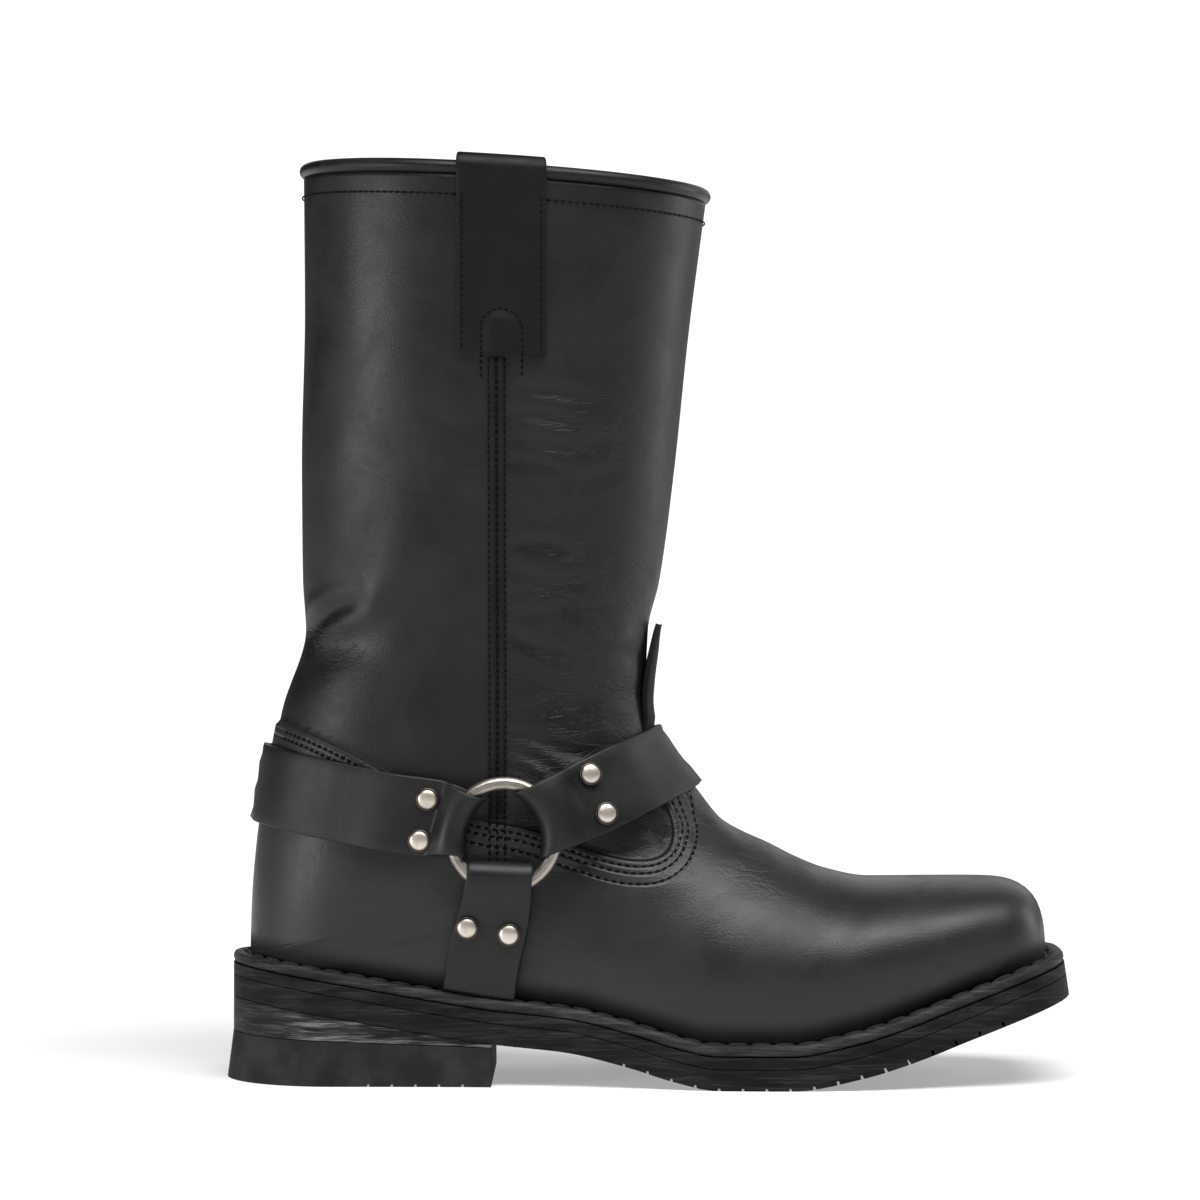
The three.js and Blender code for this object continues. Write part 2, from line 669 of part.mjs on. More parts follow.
// Gaps between the lugs, cut in from both edges along the underside.
function lugGaps(from, to, height) {
  const cuts = [];
  for (const [, side] of SIDES) {
    for (let x = from; x < to; x += LUG_PITCH) {
      const box = new THREE.BoxGeometry(LUG_GAP, 2 * LUG_REACH, 2 * LUG_DEPTH);
      const rise = Math.atan2(height(x + 1) - height(x - 1), 2);
      box.applyMatrix4(new THREE.Matrix4().makeRotationY(-rise));
      box.translate(x, side * (plan(x, side) + WELT_WIDTH), height(x));
      cuts.push(solid(box));
    }
  }
  return cuts.reduce((all, cut) => all.add(cut));
}
const LUGS_FROM = 0.47 * FOOT_LENGTH;
const LUGS_TO = TOE_PIVOT + 0.5 * TOE_REACH;
const LIFT_LUGS_FROM = 0.5 * BREAST;
const outsole = () => layer({ top: above(OUTSOLE_THICKNESS), bottom: above(0), margin: WELT_WIDTH })
  .subtract(lugGaps(LUGS_FROM, LUGS_TO, underside));
const midsole = () => layer({
  top: above(MIDSOLE_BASE + MIDSOLE_THICKNESS),
  bottom: above(MIDSOLE_BASE),
  margin: WELT_WIDTH,
});
function welt() {
  const top = WELT_BASE + WELT_THICKNESS;
  const plate = layer({ top: above(top), bottom: above(WELT_BASE), margin: WELT_WIDTH });
  return plate.subtract(layer({ top: above(top + 1), bottom: above(WELT_BASE - 1), margin: -WALL }));
}
const insole = () => layer({
  top: above(FEATHER_BASE + INSOLE_RISE),
  bottom: above(WELT_BASE + GAP / 2),
  margin: -WALL - INSOLE_GAP,
});
// What lies under the feather line, cut from the upper so that it stands evenly on the welt.
const trimming = () => layer({ top: above(FEATHER_BASE), bottom: above(0), margin: WELT_WIDTH });
const wedge = () => layer({
  top: above(-GAP),
  bottom: (x) => liftTop(x) + GAP,
  margin: WELT_WIDTH,
  until: BREAST,
});
const lift = () => layer({
  top: liftTop,
  bottom: () => 0,
  margin: WELT_WIDTH,
  flare: LIFT_FLARE,
  until: BREAST,
}).subtract(lugGaps(LIFT_LUGS_FROM, BREAST - LUG_PITCH / 2, () => 0));

// Belts round the boot. A belt's plane crosses the side view through the ring centre at an angle.
const ringPlace = new THREE.Vector2(RING_SET_BACK, RING_HEIGHT);
const BELT_SAMPLES = 180;
const BELT_REACH = 200;
const HALVINGS = 26;
const TURN_PROBE = 0.04;
function belt(angle, turnAt) {
  const along = new THREE.Vector2(Math.cos(radians(angle)), Math.sin(radians(angle)));
  const across = new THREE.Vector2(-along.y, along.x);
  const hub = ringPlace.clone().addScaledVector(along, turnAt);
  const cut = (turn, v) => {
    const foot = hub.clone().addScaledVector(across, v);
    const side = turn < 0 ? OUTER : INNER;
    let low = 0;
    let high = BELT_REACH;
    for (let k = 0; k < HALVINGS; k++) {
      const at = (low + high) / 2;
      const x = foot.x + along.x * at * Math.cos(turn);
      const z = foot.y + along.y * at * Math.cos(turn);
      if (Math.abs(at * Math.sin(turn)) < flank(x, z, side)) low = at;
      else high = at;
    }
    const ahead = low * Math.cos(turn);
    return vector(foot.x + along.x * ahead, low * Math.sin(turn), foot.y + along.y * ahead);
  };
  const turns = [];
  const lengths = [0];
  const limit = Math.PI - Math.atan2(ANKLE_WIDTH / 3, turnAt);
  for (let i = 0; i <= BELT_SAMPLES; i++) turns.push(mix(-limit, limit, i / BELT_SAMPLES));
  const line = turns.map((turn) => cut(turn, 0));
  for (let i = 1; i < line.length; i++) lengths.push(lengths[i - 1] + line[i].distanceTo(line[i - 1]));
  const behind = (point) => (point.x - ringPlace.x) * along.x + (point.z - ringPlace.y) * along.y;
  const lengthWhere = (first, last, stride) => {
    for (let i = first; i !== last; i += stride) {
      const here = behind(line[i]);
      const next = behind(line[i + stride]);
      if (here <= 0 && next > 0) return mix(lengths[i], lengths[i + stride], -here / (next - here));
    }
    return lengths[first];
  };
  const start = lengthWhere(0, BELT_SAMPLES, 1);
  const finishAt = lengthWhere(BELT_SAMPLES, 0, -1);
  const turnOf = (length) => {
    let i = 0;
    while (i < BELT_SAMPLES - 1 && lengths[i + 1] < length) i++;
    return mix(turns[i], turns[i + 1], (length - lengths[i]) / (lengths[i + 1] - lengths[i]));
  };
  const surface = (length, v) => {
    const turn = turnOf(start + length);
    const point = cut(turn, v);
    const round = cut(turn + TURN_PROBE, v).sub(cut(turn - TURN_PROBE, v));
    const up = cut(turn, v + 1).sub(cut(turn, v - 1));
    const normal = round.cross(up).normalize();
    const outward = point.clone().sub(vector(hub.x, 0, hub.y));
    if (normal.dot(outward) < 0) normal.negate();
    return { point, normal };
  };
  return { surface, length: finishAt - start, along };
}

// Heights of the harness above the wall: both strap layers, and the ring between them.
const LOWER_LAYER = VAMP_STEP + SEAT + STRAP_THICKNESS / 2;
const UPPER_LAYER = LOWER_LAYER + STRAP_THICKNESS + GAP;
const FOLD_RADIUS = RING_WIRE / 2 + FOLD_GAP + STRAP_THICKNESS / 2;
const RING_LEVEL = LOWER_LAYER + FOLD_RADIUS;
const WIRE_RADIUS = (RING_OUTER - RING_WIRE) / 2;
const RING_BLEND = [20, 42];

// The flat frame of one ring, and a strap's place in it.
function ringFrame(side) {
  const { point, normal } = onFlank(RING_SET_BACK, RING_HEIGHT, side);
  return { origin: point, normal };
}
function inRing(frame, along, d, v, h) {
  const ahead = vector(along.x, 0, along.y);
  ahead.addScaledVector(frame.normal, -ahead.dot(frame.normal)).normalize();
  const across = vector(-along.y, 0, along.x);
  across.addScaledVector(frame.normal, -across.dot(frame.normal)).normalize();
  const flat = frame.origin.clone().addScaledVector(ahead, d).addScaledVector(across, v);
  return flat.addScaledVector(frame.normal, h);
}

// Stations of a strap end: under layer, fold round the ring's wire, and top layer.
const FOLD_STEPS = 5;
function strapEnd(width, rivets, straight) {
  const half = width / 2;
  const fold = FOLD_WIDTH / 2;
  const wireAt = straight ? Math.sqrt(WIRE_RADIUS ** 2 - fold ** 2) : WIRE_RADIUS;
  const end = rivets + RIVET_CAP + 1;
  const path = [
    { d: end, h: LOWER_LAYER, half },
    { d: rivets, h: LOWER_LAYER, half },
    { d: WIRE_RADIUS + 1, h: LOWER_LAYER, half: mix(fold, half, 0.8) },
  ];
  for (let k = 0; k <= FOLD_STEPS; k++) {
    const turn = (k / FOLD_STEPS) * Math.PI;
    const d = wireAt - FOLD_RADIUS * Math.sin(turn);
    path.push({ d, h: RING_LEVEL - FOLD_RADIUS * Math.cos(turn), half: fold, round: !straight });
  }
  path.push({ d: WIRE_RADIUS + RING_WIRE / 2, h: RING_LEVEL + FOLD_RADIUS, half: mix(fold, half, 0.8) });
  for (const d of [rivets - 0.6 * RIVET_CAP, rivets, rivets + RIVET_CAP / 2, end]) {
    path.push({ d, h: UPPER_LAYER, half });
  }
  path.push({ d: end + 3 * STRAP_THICKNESS, h: LOWER_LAYER, half });
  return path;
}
// A strap swept along its stations, with its inner and outer face at half its thickness.
const STRAP_SPANS = 4;
function sweep(path, thickness, place, spans = STRAP_SPANS) {
  const faces = [-1, 1].map((face) => path.map((at, i) => {
    const before = path[Math.max(i - 1, 0)];
    const after = path[Math.min(i + 1, path.length - 1)];
    const turn = new THREE.Vector2(after.d - before.d, after.h - before.h).normalize();
    const shift = (face * thickness) / 2;
    const row = [];
    for (let j = 0; j <= spans; j++) {
      const v = mix(-at.half, at.half, j / spans);
      row.push(place(at, at.d - turn.y * shift, v, at.h + turn.x * shift));
    }
    return row;
  }));
  const [under, over] = faces;
  const facets = new Facets();
  for (let i = 1; i < path.length; i++) {
    for (let j = 1; j <= spans; j++) {
      facets.quad(over[i - 1][j - 1], over[i][j - 1], over[i][j], over[i - 1][j]);
      facets.quad(under[i - 1][j - 1], under[i - 1][j], under[i][j], under[i][j - 1]);
    }
    facets.quad(over[i - 1][0], under[i - 1][0], under[i][0], over[i][0]);
    facets.quad(over[i - 1][spans], over[i][spans], under[i][spans], under[i - 1][spans]);
  }
  const end = path.length - 1;
  for (let j = 1; j <= spans; j++) {
    facets.quad(over[0][j - 1], over[0][j], under[0][j], under[0][j - 1]);
    facets.quad(over[end][j - 1], under[end][j - 1], under[end][j], over[end][j]);
  }
  return facets.body();
}
const wireShift = (at, v) => (at.round ? Math.sqrt(WIRE_RADIUS ** 2 - v * v) - WIRE_RADIUS : 0);

// A strap from the outer ring round the boot to the inner ring, flat in each ring, and on the
// leather between them.
const BELT_SPACING = 8.5;
function beltStrap(round, width, rivets) {
  const near = strapEnd(width, rivets, false);
  const far = near.map((at) => ({ ...at, d: round.length - at.d, far: true })).reverse();
  const free = near[near.length - 1].d;
  const between = Math.round((round.length - 2 * free) / BELT_SPACING);
  const middle = [];
  for (let k = 1; k < between; k++) {
    middle.push({ d: mix(free, round.length - free, k / between), h: LOWER_LAYER, half: width / 2 });
  }
  const place = (at, d, v, h) => {
    const fromRing = at.far ? round.length - d : d;
    const side = d > round.length / 2 ? INNER : OUTER;
    const shift = wireShift(at, v);
    const flat = inRing(ringFrame(side), round.along, fromRing + shift, v, h);
    const loose = ease(clamp((fromRing - RING_BLEND[0]) / (RING_BLEND[1] - RING_BLEND[0]), 0, 1));
    if (loose === 0) return flat;
    const { point, normal } = round.surface(d, v);
    return flat.lerp(point.addScaledVector(normal, h), loose);
  };
  const path = [...near, ...middle, ...far];
  const placeAt = (side, d, v, h) => {
    const far = side === INNER;
    return place({ far }, far ? round.length - d : d, v, h);
  };
  return { body: sweep(path, STRAP_THICKNESS, place), placeAt };
}
// A strap from a ring down the flank to the welt.
const ARCH_TUCK = 2;
function archStrap(side) {
  const along = new THREE.Vector2(Math.cos(radians(ARCH_STRAP_ANGLE)), Math.sin(radians(ARCH_STRAP_ANGLE)));
  const path = strapEnd(ARCH_STRAP_WIDTH, ARCH_RIVET_REACH, true);
  const reach = (RING_HEIGHT - feather(RING_SET_BACK)) / -along.y;
  const last = path[path.length - 1];
  [0.5, 1].forEach((share) => path.push({ ...last, d: mix(last.d, reach + ARCH_TUCK, share) }));
  const place = (at, d, v, h) => {
    const flat = inRing(ringFrame(side), along, d, v, h);
    const x = ringPlace.x + along.x * d - along.y * v;
    const z = ringPlace.y + along.y * d + along.x * v;
    const loose = ease(clamp((d - RING_BLEND[0]) / (RING_BLEND[1] - RING_BLEND[0]), 0, 1));
    const level = Math.max(z, feather(x) + STRAP_THICKNESS);
    const { point, normal } = onFlank(x, level, side);
    const lying = point.addScaledVector(normal, h);
    lying.z += z - level;
    const seated = flat.lerp(lying, loose);
    return seated.setZ(Math.max(seated.z, feather(seated.x) + GAP / 2));
  };
  return { body: sweep(path, STRAP_THICKNESS, place), place };
}
const WIRE_SIDES = 8;
const RING_SEGMENTS = 36;
function ring(side) {
  const shape = new THREE.TorusGeometry(WIRE_RADIUS, RING_WIRE / 2, WIRE_SIDES, RING_SEGMENTS);
  const { origin, normal } = ringFrame(side);
  shape.applyQuaternion(new THREE.Quaternion().setFromUnitVectors(vector(0, 0, 1), normal));
  const centre = origin.clone().addScaledVector(normal, RING_LEVEL);
  shape.translate(centre.x, centre.y, centre.z);
  return solid(shape);
}
// A domed rivet cap with a milled rim, resting on the top layer of a strap end.
const CAP_SEGMENTS = 14;
const CAP_PROBES = 8;
const CAP_CLEARANCE = 1.3;
function rivet(place, v) {
  const top = UPPER_LAYER + STRAP_THICKNESS / 2 + RIVET_GAP;
  const seat = place(0, v, top);
  const normal = place(0, v, top + 1).sub(seat).normalize();
  const radius = RIVET_CAP / 2;
  const probe = CAP_CLEARANCE * radius;
  let lift = 0;
  for (let k = 0; k < CAP_PROBES; k++) {
    const turn = (k / CAP_PROBES) * 2 * Math.PI;
    const under = place(probe * Math.cos(turn), v + probe * Math.sin(turn), top);
    lift = Math.max(lift, under.sub(seat).dot(normal));
  }
  seat.addScaledVector(normal, lift);
  const shoulder = [radius * 0.8, RIVET_RISE * 0.8];
  const profile = [[0, 0], [radius, 0], [radius, RIVET_RIM], shoulder, [0, RIVET_RISE]];
  const cap = new THREE.LatheGeometry(profile.map(([x, y]) => new THREE.Vector2(x, y)), CAP_SEGMENTS);
  cap.applyQuaternion(new THREE.Quaternion().setFromUnitVectors(vector(0, 1, 0), normal));
  cap.translate(seat.x, seat.y, seat.z);
  return solid(cap);
}

// Collar: a rolled binding on the rim, and pull straps looped over it at the sides
const BINDING_SIDES = 8;
const collarRow = gridRows[COLLAR_ROW];
const BINDING_CENTRE = GAP + BINDING_WIDTH / 2;
const collarSlope = (collarRow.top - collarRow.base) / (collarRow.front - collarRow.back);
const collarUp = vector(-collarSlope, 0, 1).normalize();
function binding() {
  const facets = new Facets();
  const loop = GRID[COLLAR_ROW].slice(0, -1).map((point, j) => {
    const out = NORMALS[COLLAR_ROW][j];
    const centre = point.clone().addScaledVector(out, -WALL / 2).addScaledVector(collarUp, BINDING_CENTRE);
    const circle = [];
    for (let k = 0; k < BINDING_SIDES; k++) {
      const turn = ((k + 0.5) / BINDING_SIDES) * 2 * Math.PI;
      const aside = centre.clone().addScaledVector(out, (BINDING_WIDTH / 2) * Math.cos(turn));
      circle.push(aside.addScaledVector(collarUp, (BINDING_WIDTH / 2) * Math.sin(turn)));
    }
    return circle;
  });
  loop.forEach((circle, j) => {
    const next = loop[(j + 1) % loop.length];
    circle.forEach((point, k) => {
      const over = (k + 1) % BINDING_SIDES;
      facets.quad(point, next[k], next[over], circle[over]);
    });
  });
  return facets.body();
}
const pullSet = SHAFT_SET + COLLAR_DEPTH / 2;
const rimAt = (x) => collarRow.base + collarSlope * (x - collarRow.back);
const PULL_FOLD = 6;
const PULL_OUTSIDE = 4;
const PULL_INNER = 3;
function pullStrap(side) {
  const rim = rimAt(pullSet);
  const outside = SEAT + PULL_THICKNESS / 2;
  const inside = -WALL - SEAT - PULL_THICKNESS / 2;
  const over = BINDING_WIDTH / 2 + GAP + PULL_THICKNESS / 2;
  const half = PULL_WIDTH / 2;
  const path = [];
  for (let k = 0; k <= PULL_OUTSIDE; k++) {
    path.push({ d: mix(rim - PULL_LENGTH, rim - PULL_HOLD, k / PULL_OUTSIDE), h: outside, half });
  }
  for (let k = 0; k <= PULL_FOLD; k++) {
    const turn = (k / PULL_FOLD) * Math.PI;
    const d = rim + BINDING_CENTRE + over * Math.sin(turn);
    path.push({ d, h: -WALL / 2 + over * Math.cos(turn), half });
  }
  for (let k = 0; k <= PULL_INNER; k++) {
    path.push({ d: mix(rim - PULL_HOLD, rim - PULL_INSIDE, k / PULL_INNER), h: inside, half });
  }
  const place = (at, d, v, h) => {
    const level = d + (rimAt(pullSet + v) - rim);
    const { point, normal } = onFlank(pullSet + v, Math.min(level, rimAt(pullSet + v) - 1), side);
    normal.setZ(0).normalize();
    point.z = level;
    return point.addScaledVector(normal, h);
  };
  return sweep(path, PULL_THICKNESS, place);
}
// Side seam strip from under the pull strap down to the vamp's edge inside the ring.
const SEAM_PLACE = RING_SET_BACK - 2.5;
const SEAM_FOOT = SEAT_HEIGHT + VAMP_EDGE[4].up * ANKLE_HEIGHT + 2;
const SEAM_STEPS = 14;
function sideSeam(side) {
  const head = rimAt(SEAM_PLACE) - PULL_LENGTH - GAP - SEAM_THICKNESS;
  const path = [];
  for (let k = 0; k <= SEAM_STEPS; k++) {
    const d = mix(SEAM_FOOT, head, k / SEAM_STEPS);
    path.push({ d, h: SEAT + SEAM_THICKNESS / 2, half: SEAM_WIDTH / 2 });
  }
  const place = (at, d, v, h) => {
    const { point, normal } = onFlank(SEAM_PLACE + v, d, side);
    return point.addScaledVector(normal, h);
  };
  return sweep(path, SEAM_THICKNESS, place, 1);
}
// Tongue tab: stands on the front of the shaft from the instep strap up, and leans off it at its tip.
const TONGUE_TURN = 20;
const TONGUE_STEPS = 8;
const TONGUE_SPANS = 6;
const TONGUE_STRAIGHT = 0.35;
const TONGUE_POINT = 0.985;
function tongue(strap) {
  const front = belt(0, TONGUE_TURN);
  const edge = strap.surface(strap.length / 2, INSTEP_STRAP_WIDTH / 2);
  const foot = edge.point.z + Math.max(0, edge.normal.z) * (LOWER_LAYER + STRAP_THICKNESS / 2) + 2 * GAP;
  const tip = ankle.top + TONGUE_TIP;
  const path = [];
  const middle = front.length / 2;
  for (let k = 0; k <= TONGUE_STEPS; k++) {
    const share = k / TONGUE_STEPS;
    const round = Math.max(0, share - TONGUE_STRAIGHT) / (1 - TONGUE_STRAIGHT);
    const half = (TONGUE_WIDTH / 2) * Math.sqrt(1 - (TONGUE_POINT * round) ** 2);
    const h = SEAT + TONGUE_THICKNESS / 2 + TONGUE_LEAN * ease(share);
    path.push({ d: mix(foot, tip, share), h, half });
  }
  const place = (at, d, v, h) => {
    const { point, normal } = front.surface(middle + v, d - RING_HEIGHT);
    return point.addScaledVector(normal, h);
  };
  return sweep(path, TONGUE_THICKNESS, place, TONGUE_SPANS);
}

const group = new THREE.Group();
function add(name, body, colour, roughness, metalness = 0) {
  const mesh = new THREE.Mesh(
    geometryOf(body),
    new THREE.MeshStandardMaterial({ color: colour, roughness, metalness }),
  );
  mesh.name = name;
  group.add(mesh);
}
const LEATHER = 0x1c1c1b;
const STRAP_LEATHER = 0x191919;
const RUBBER = 0x161616;
const STACK = 0x2e2c2b;
const BOARD = 0x6b5844;
const NICKEL = 0x9b948a;

add("upper", upper(), LEATHER, 0.45);
add("insole", insole(), BOARD, 0.8);
add("welt", welt(), RUBBER, 0.6);
add("midsole", midsole(), RUBBER, 0.7);
add("outsole", outsole(), RUBBER, 0.75);
add("heel_wedge", wedge(), STACK, 0.8);
add("heel_lift", lift(), RUBBER, 0.75);
add("collar_binding", binding(), STRAP_LEATHER, 0.4);

const heelBelt = belt(HEEL_STRAP_ANGLE, 0.55 * RING_SET_BACK);
const instepBelt = belt(INSTEP_STRAP_ANGLE, 0.38 * RING_SET_BACK);
const heelStrap = beltStrap(heelBelt, HEEL_STRAP_WIDTH, HEEL_RIVET_REACH);
const instepStrap = beltStrap(instepBelt, INSTEP_STRAP_WIDTH, INSTEP_RIVET_REACH);
add("tongue_tab", tongue(instepBelt), LEATHER, 0.45);
add("heel_strap", heelStrap.body, STRAP_LEATHER, 0.4);
add("instep_strap", instepStrap.body, STRAP_LEATHER, 0.4);

// The two rivets of a strap end. Their places are given ahead of and across the end's rivet line.
function addRivets(strap, label, place) {
  [-1, 1].forEach((end, k) => {
    const body = rivet(place, (end * RIVET_SPACING) / 2);
    add("rivet_" + strap + "_" + label + "_" + (k + 1), body, NICKEL, 0.4, 1);
  });
}
for (const [label, side] of SIDES) {
  const arch = archStrap(side);
  add("arch_strap_" + label, arch.body, STRAP_LEATHER, 0.4);
  add("ring_" + label, ring(side), NICKEL, 0.35, 1);
  add("pull_strap_" + label, pullStrap(side), STRAP_LEATHER, 0.4);
  add("side_seam_" + label, sideSeam(side), LEATHER, 0.45);
  addRivets("heel", label, (d, v, h) => heelStrap.placeAt(side, HEEL_RIVET_REACH + d, v, h));
  addRivets("instep", label, (d, v, h) => instepStrap.placeAt(side, INSTEP_RIVET_REACH + d, v, h));
  addRivets("arch", label, (d, v, h) => arch.place({}, ARCH_RIVET_REACH + d, v, h));
}

// The part's own frame has its origin under the middle of its box, on the floor.
const box = new THREE.Box3().setFromObject(group);
group.position.set(-(box.min.x + box.max.x) / 2, -(box.min.y + box.max.y) / 2, -box.min.z);

export default group;
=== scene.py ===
# A right harness boot in black oiled leather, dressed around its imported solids.
# Sizes are millimetres in the boot's own layout: X runs from the heel's back at the welt to the toe,
# the outer side is at -Y, and the floor is at Z = 0. Meshes are set in metres in the part's frame.
import math

import bmesh
import bpy
import numpy as np
from mathutils import Matrix, Vector


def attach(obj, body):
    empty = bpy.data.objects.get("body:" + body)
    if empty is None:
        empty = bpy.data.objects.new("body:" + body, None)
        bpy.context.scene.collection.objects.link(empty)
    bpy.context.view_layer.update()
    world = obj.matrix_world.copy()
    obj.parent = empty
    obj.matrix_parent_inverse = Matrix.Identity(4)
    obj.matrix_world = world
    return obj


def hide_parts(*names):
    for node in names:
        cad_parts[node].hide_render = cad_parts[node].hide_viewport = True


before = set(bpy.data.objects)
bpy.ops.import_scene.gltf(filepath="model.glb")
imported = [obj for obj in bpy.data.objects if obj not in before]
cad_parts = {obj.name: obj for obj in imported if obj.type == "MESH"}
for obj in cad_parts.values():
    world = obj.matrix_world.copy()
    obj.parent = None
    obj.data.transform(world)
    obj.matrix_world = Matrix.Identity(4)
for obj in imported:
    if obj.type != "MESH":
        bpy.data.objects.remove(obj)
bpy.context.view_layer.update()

# Foot of the upper, measured where it meets the welt
FOOT_LENGTH = 286.5
BALL_WIDTH = 92
WAIST_WIDTH = 60
HEEL_WIDTH = 61
TOE_WIDTH = 78
TOE_REACH = 22
TOE_HEIGHT = 33.5
INSTEP_HEIGHT = 76
# Shaft
ANKLE_HEIGHT = 117
ANKLE_DEPTH = 125.5
ANKLE_WIDTH = 84
SHAFT_SET = 18.3
SHAFT_HEIGHT = 281
COLLAR_DEPTH = 146.5
COLLAR_WIDTH = 112
COLLAR_DROP = 9
# Leather
WALL = 2.2
VAMP_STEP = 1.2
STRAP_THICKNESS = 2.4
# Sole and heel
WELT_WIDTH = 7.2
WELT_THICKNESS = 4
MIDSOLE_THICKNESS = 4
OUTSOLE_THICKNESS = 7.4
TOE_SPRING = 29
LUG_DEPTH = 0.9
LUG_PITCH = 8.4
LUG_GAP = 1.0
LUG_REACH = 15
HEEL_LENGTH = 97
LIFT_BACK = 17
LIFT_FRONT = 13.6
LIFT_FLARE = 2.2
WEDGE_BACK = 11.5
WEDGE_FRONT = 0.8
# Harness
RING_WIRE = 4.8
RING_OUTER = 41.8
RING_SET_BACK = 92.3
RING_HEIGHT = 89.5
HEEL_STRAP_WIDTH = 28
INSTEP_STRAP_WIDTH = 27
ARCH_STRAP_WIDTH = 26
HEEL_STRAP_ANGLE = 169
INSTEP_STRAP_ANGLE = 23.5
ARCH_STRAP_ANGLE = 261
HEEL_RIVET_REACH = 29
INSTEP_RIVET_REACH = 35
ARCH_RIVET_REACH = 34
RIVET_CAP = 8
# Collar and seams
BINDING_WIDTH = 5.4
PULL_WIDTH = 31
PULL_LENGTH = 62
PULL_INSIDE = 38
PULL_THICKNESS = 2
SEAM_WIDTH = 5.8
SEAM_THICKNESS = 1.2
TONGUE_TIP = 2.5
TONGUE_WIDTH = 46
TONGUE_THICKNESS = 2
# Clearances
GAP = 0.3
SEAT = 0.45
FOLD_GAP = 0.75

OUTER = -1
INNER = 1
SIDES = (("outer", OUTER), ("inner", INNER))
MILLIMETRE = 0.001
# From the heel's back to the middle of the part's box
FRAME_SHIFT = 143.3677
TINY = 1e-9


def mix(a, b, share):
    """A value a share of the way from a to b."""
    return a + (b - a) * share


def ease(value):
    """A value from 0 to 1 with soft ends, held there outside that range."""
    value = np.clip(value, 0, 1)
    return value * value * (3 - 2 * value)


def unit(vectors):
    """Vectors of length 1."""
    return vectors / np.maximum(np.linalg.norm(vectors, axis=-1, keepdims=True), 1e-12)


def direction(angle):
    """A unit direction of the side view, at an angle in degrees up from straight ahead."""
    return np.array([math.cos(math.radians(angle)), math.sin(math.radians(angle))])


def travel(points):
    """Lengths along a polyline at its points."""
    return np.concatenate([[0], np.cumsum(np.linalg.norm(np.diff(points, axis=0), axis=1))])


def sampled(places, lengths, values):
    """Values at places along a polyline whose points lie at lengths."""
    return np.stack([np.interp(places, lengths, column) for column in values.T], -1)


def corner_index(shares, count):
    """Indices of a grid's corners from their shares of the way along it."""
    return np.rint(shares * count).astype(int)


def placed(points):
    """Points of the boot's layout, in metres in the part's frame."""
    return (np.asarray(points, float) - (FRAME_SHIFT, 0, 0)) * MILLIMETRE


def through(keys, values):
    """A smooth curve through rising keys that never overshoots its values."""
    keys = np.asarray(keys, float)
    values = np.asarray(values, float)
    step = np.diff(keys)
    slope = np.diff(values) / step
    tangent = np.zeros(len(keys))
    tangent[0] = slope[0]
    tangent[-1] = slope[-1]
    for i in range(1, len(keys) - 1):
        if slope[i - 1] * slope[i] > 0:
            before = 2 * step[i] + step[i - 1]
            after = step[i] + 2 * step[i - 1]
            tangent[i] = (before + after) / (before / slope[i - 1] + after / slope[i])

    def curve(key):
        at = np.clip(np.asarray(key, float), keys[0], keys[-1])
        i = np.clip(np.searchsorted(keys, at, side="left") - 1, 0, len(keys) - 2)
        t = (at - keys[i]) / step[i]
        start = (1 + 2 * t) * (1 - t) ** 2 * values[i] + t * (1 - t) ** 2 * step[i] * tangent[i]
        end = t * t * (3 - 2 * t) * values[i + 1] + t * t * (t - 1) * step[i] * tangent[i + 1]
        return start + end

    return curve


# Sole line: share of the foot's length, and height of the outsole's underside
HEEL_BACK_RISE = LIFT_BACK + WEDGE_BACK + 2 * GAP
HEEL_FRONT_RISE = LIFT_FRONT + WEDGE_FRONT + 2 * GAP
BREAST = HEEL_LENGTH - WELT_WIDTH - LIFT_FLARE
UNDERSIDE = (
    (-0.04, HEEL_BACK_RISE * 1.04),
    (0, HEEL_BACK_RISE),
    (0.34 * BREAST / FOOT_LENGTH, mix(HEEL_FRONT_RISE, HEEL_BACK_RISE, 0.68)),
    (0.68 * BREAST / FOOT_LENGTH, mix(HEEL_FRONT_RISE, HEEL_BACK_RISE, 0.31)),
    (BREAST / FOOT_LENGTH, HEEL_FRONT_RISE),
    (0.4, HEEL_FRONT_RISE * 0.82),
    (0.475, HEEL_FRONT_RISE * 0.5),
    (0.535, HEEL_FRONT_RISE * 0.17),
    (0.585, 0),
    (0.675, 0),
    (0.749, TOE_SPRING * 0.13),
    (0.808, TOE_SPRING * 0.3),
    (0.892, TOE_SPRING * 0.61),
    (1, TOE_SPRING),
    (1.04, TOE_SPRING * 1.12),
)
underside = through([row[0] * FOOT_LENGTH for row in UNDERSIDE], [row[1] for row in UNDERSIDE])
MIDSOLE_BASE = OUTSOLE_THICKNESS + GAP
WELT_BASE = MIDSOLE_BASE + MIDSOLE_THICKNESS + GAP
FEATHER_BASE = WELT_BASE + WELT_THICKNESS + GAP


def feather(x):
    """Height of the line where the leather meets the welt."""
    return underside(x) + FEATHER_BASE


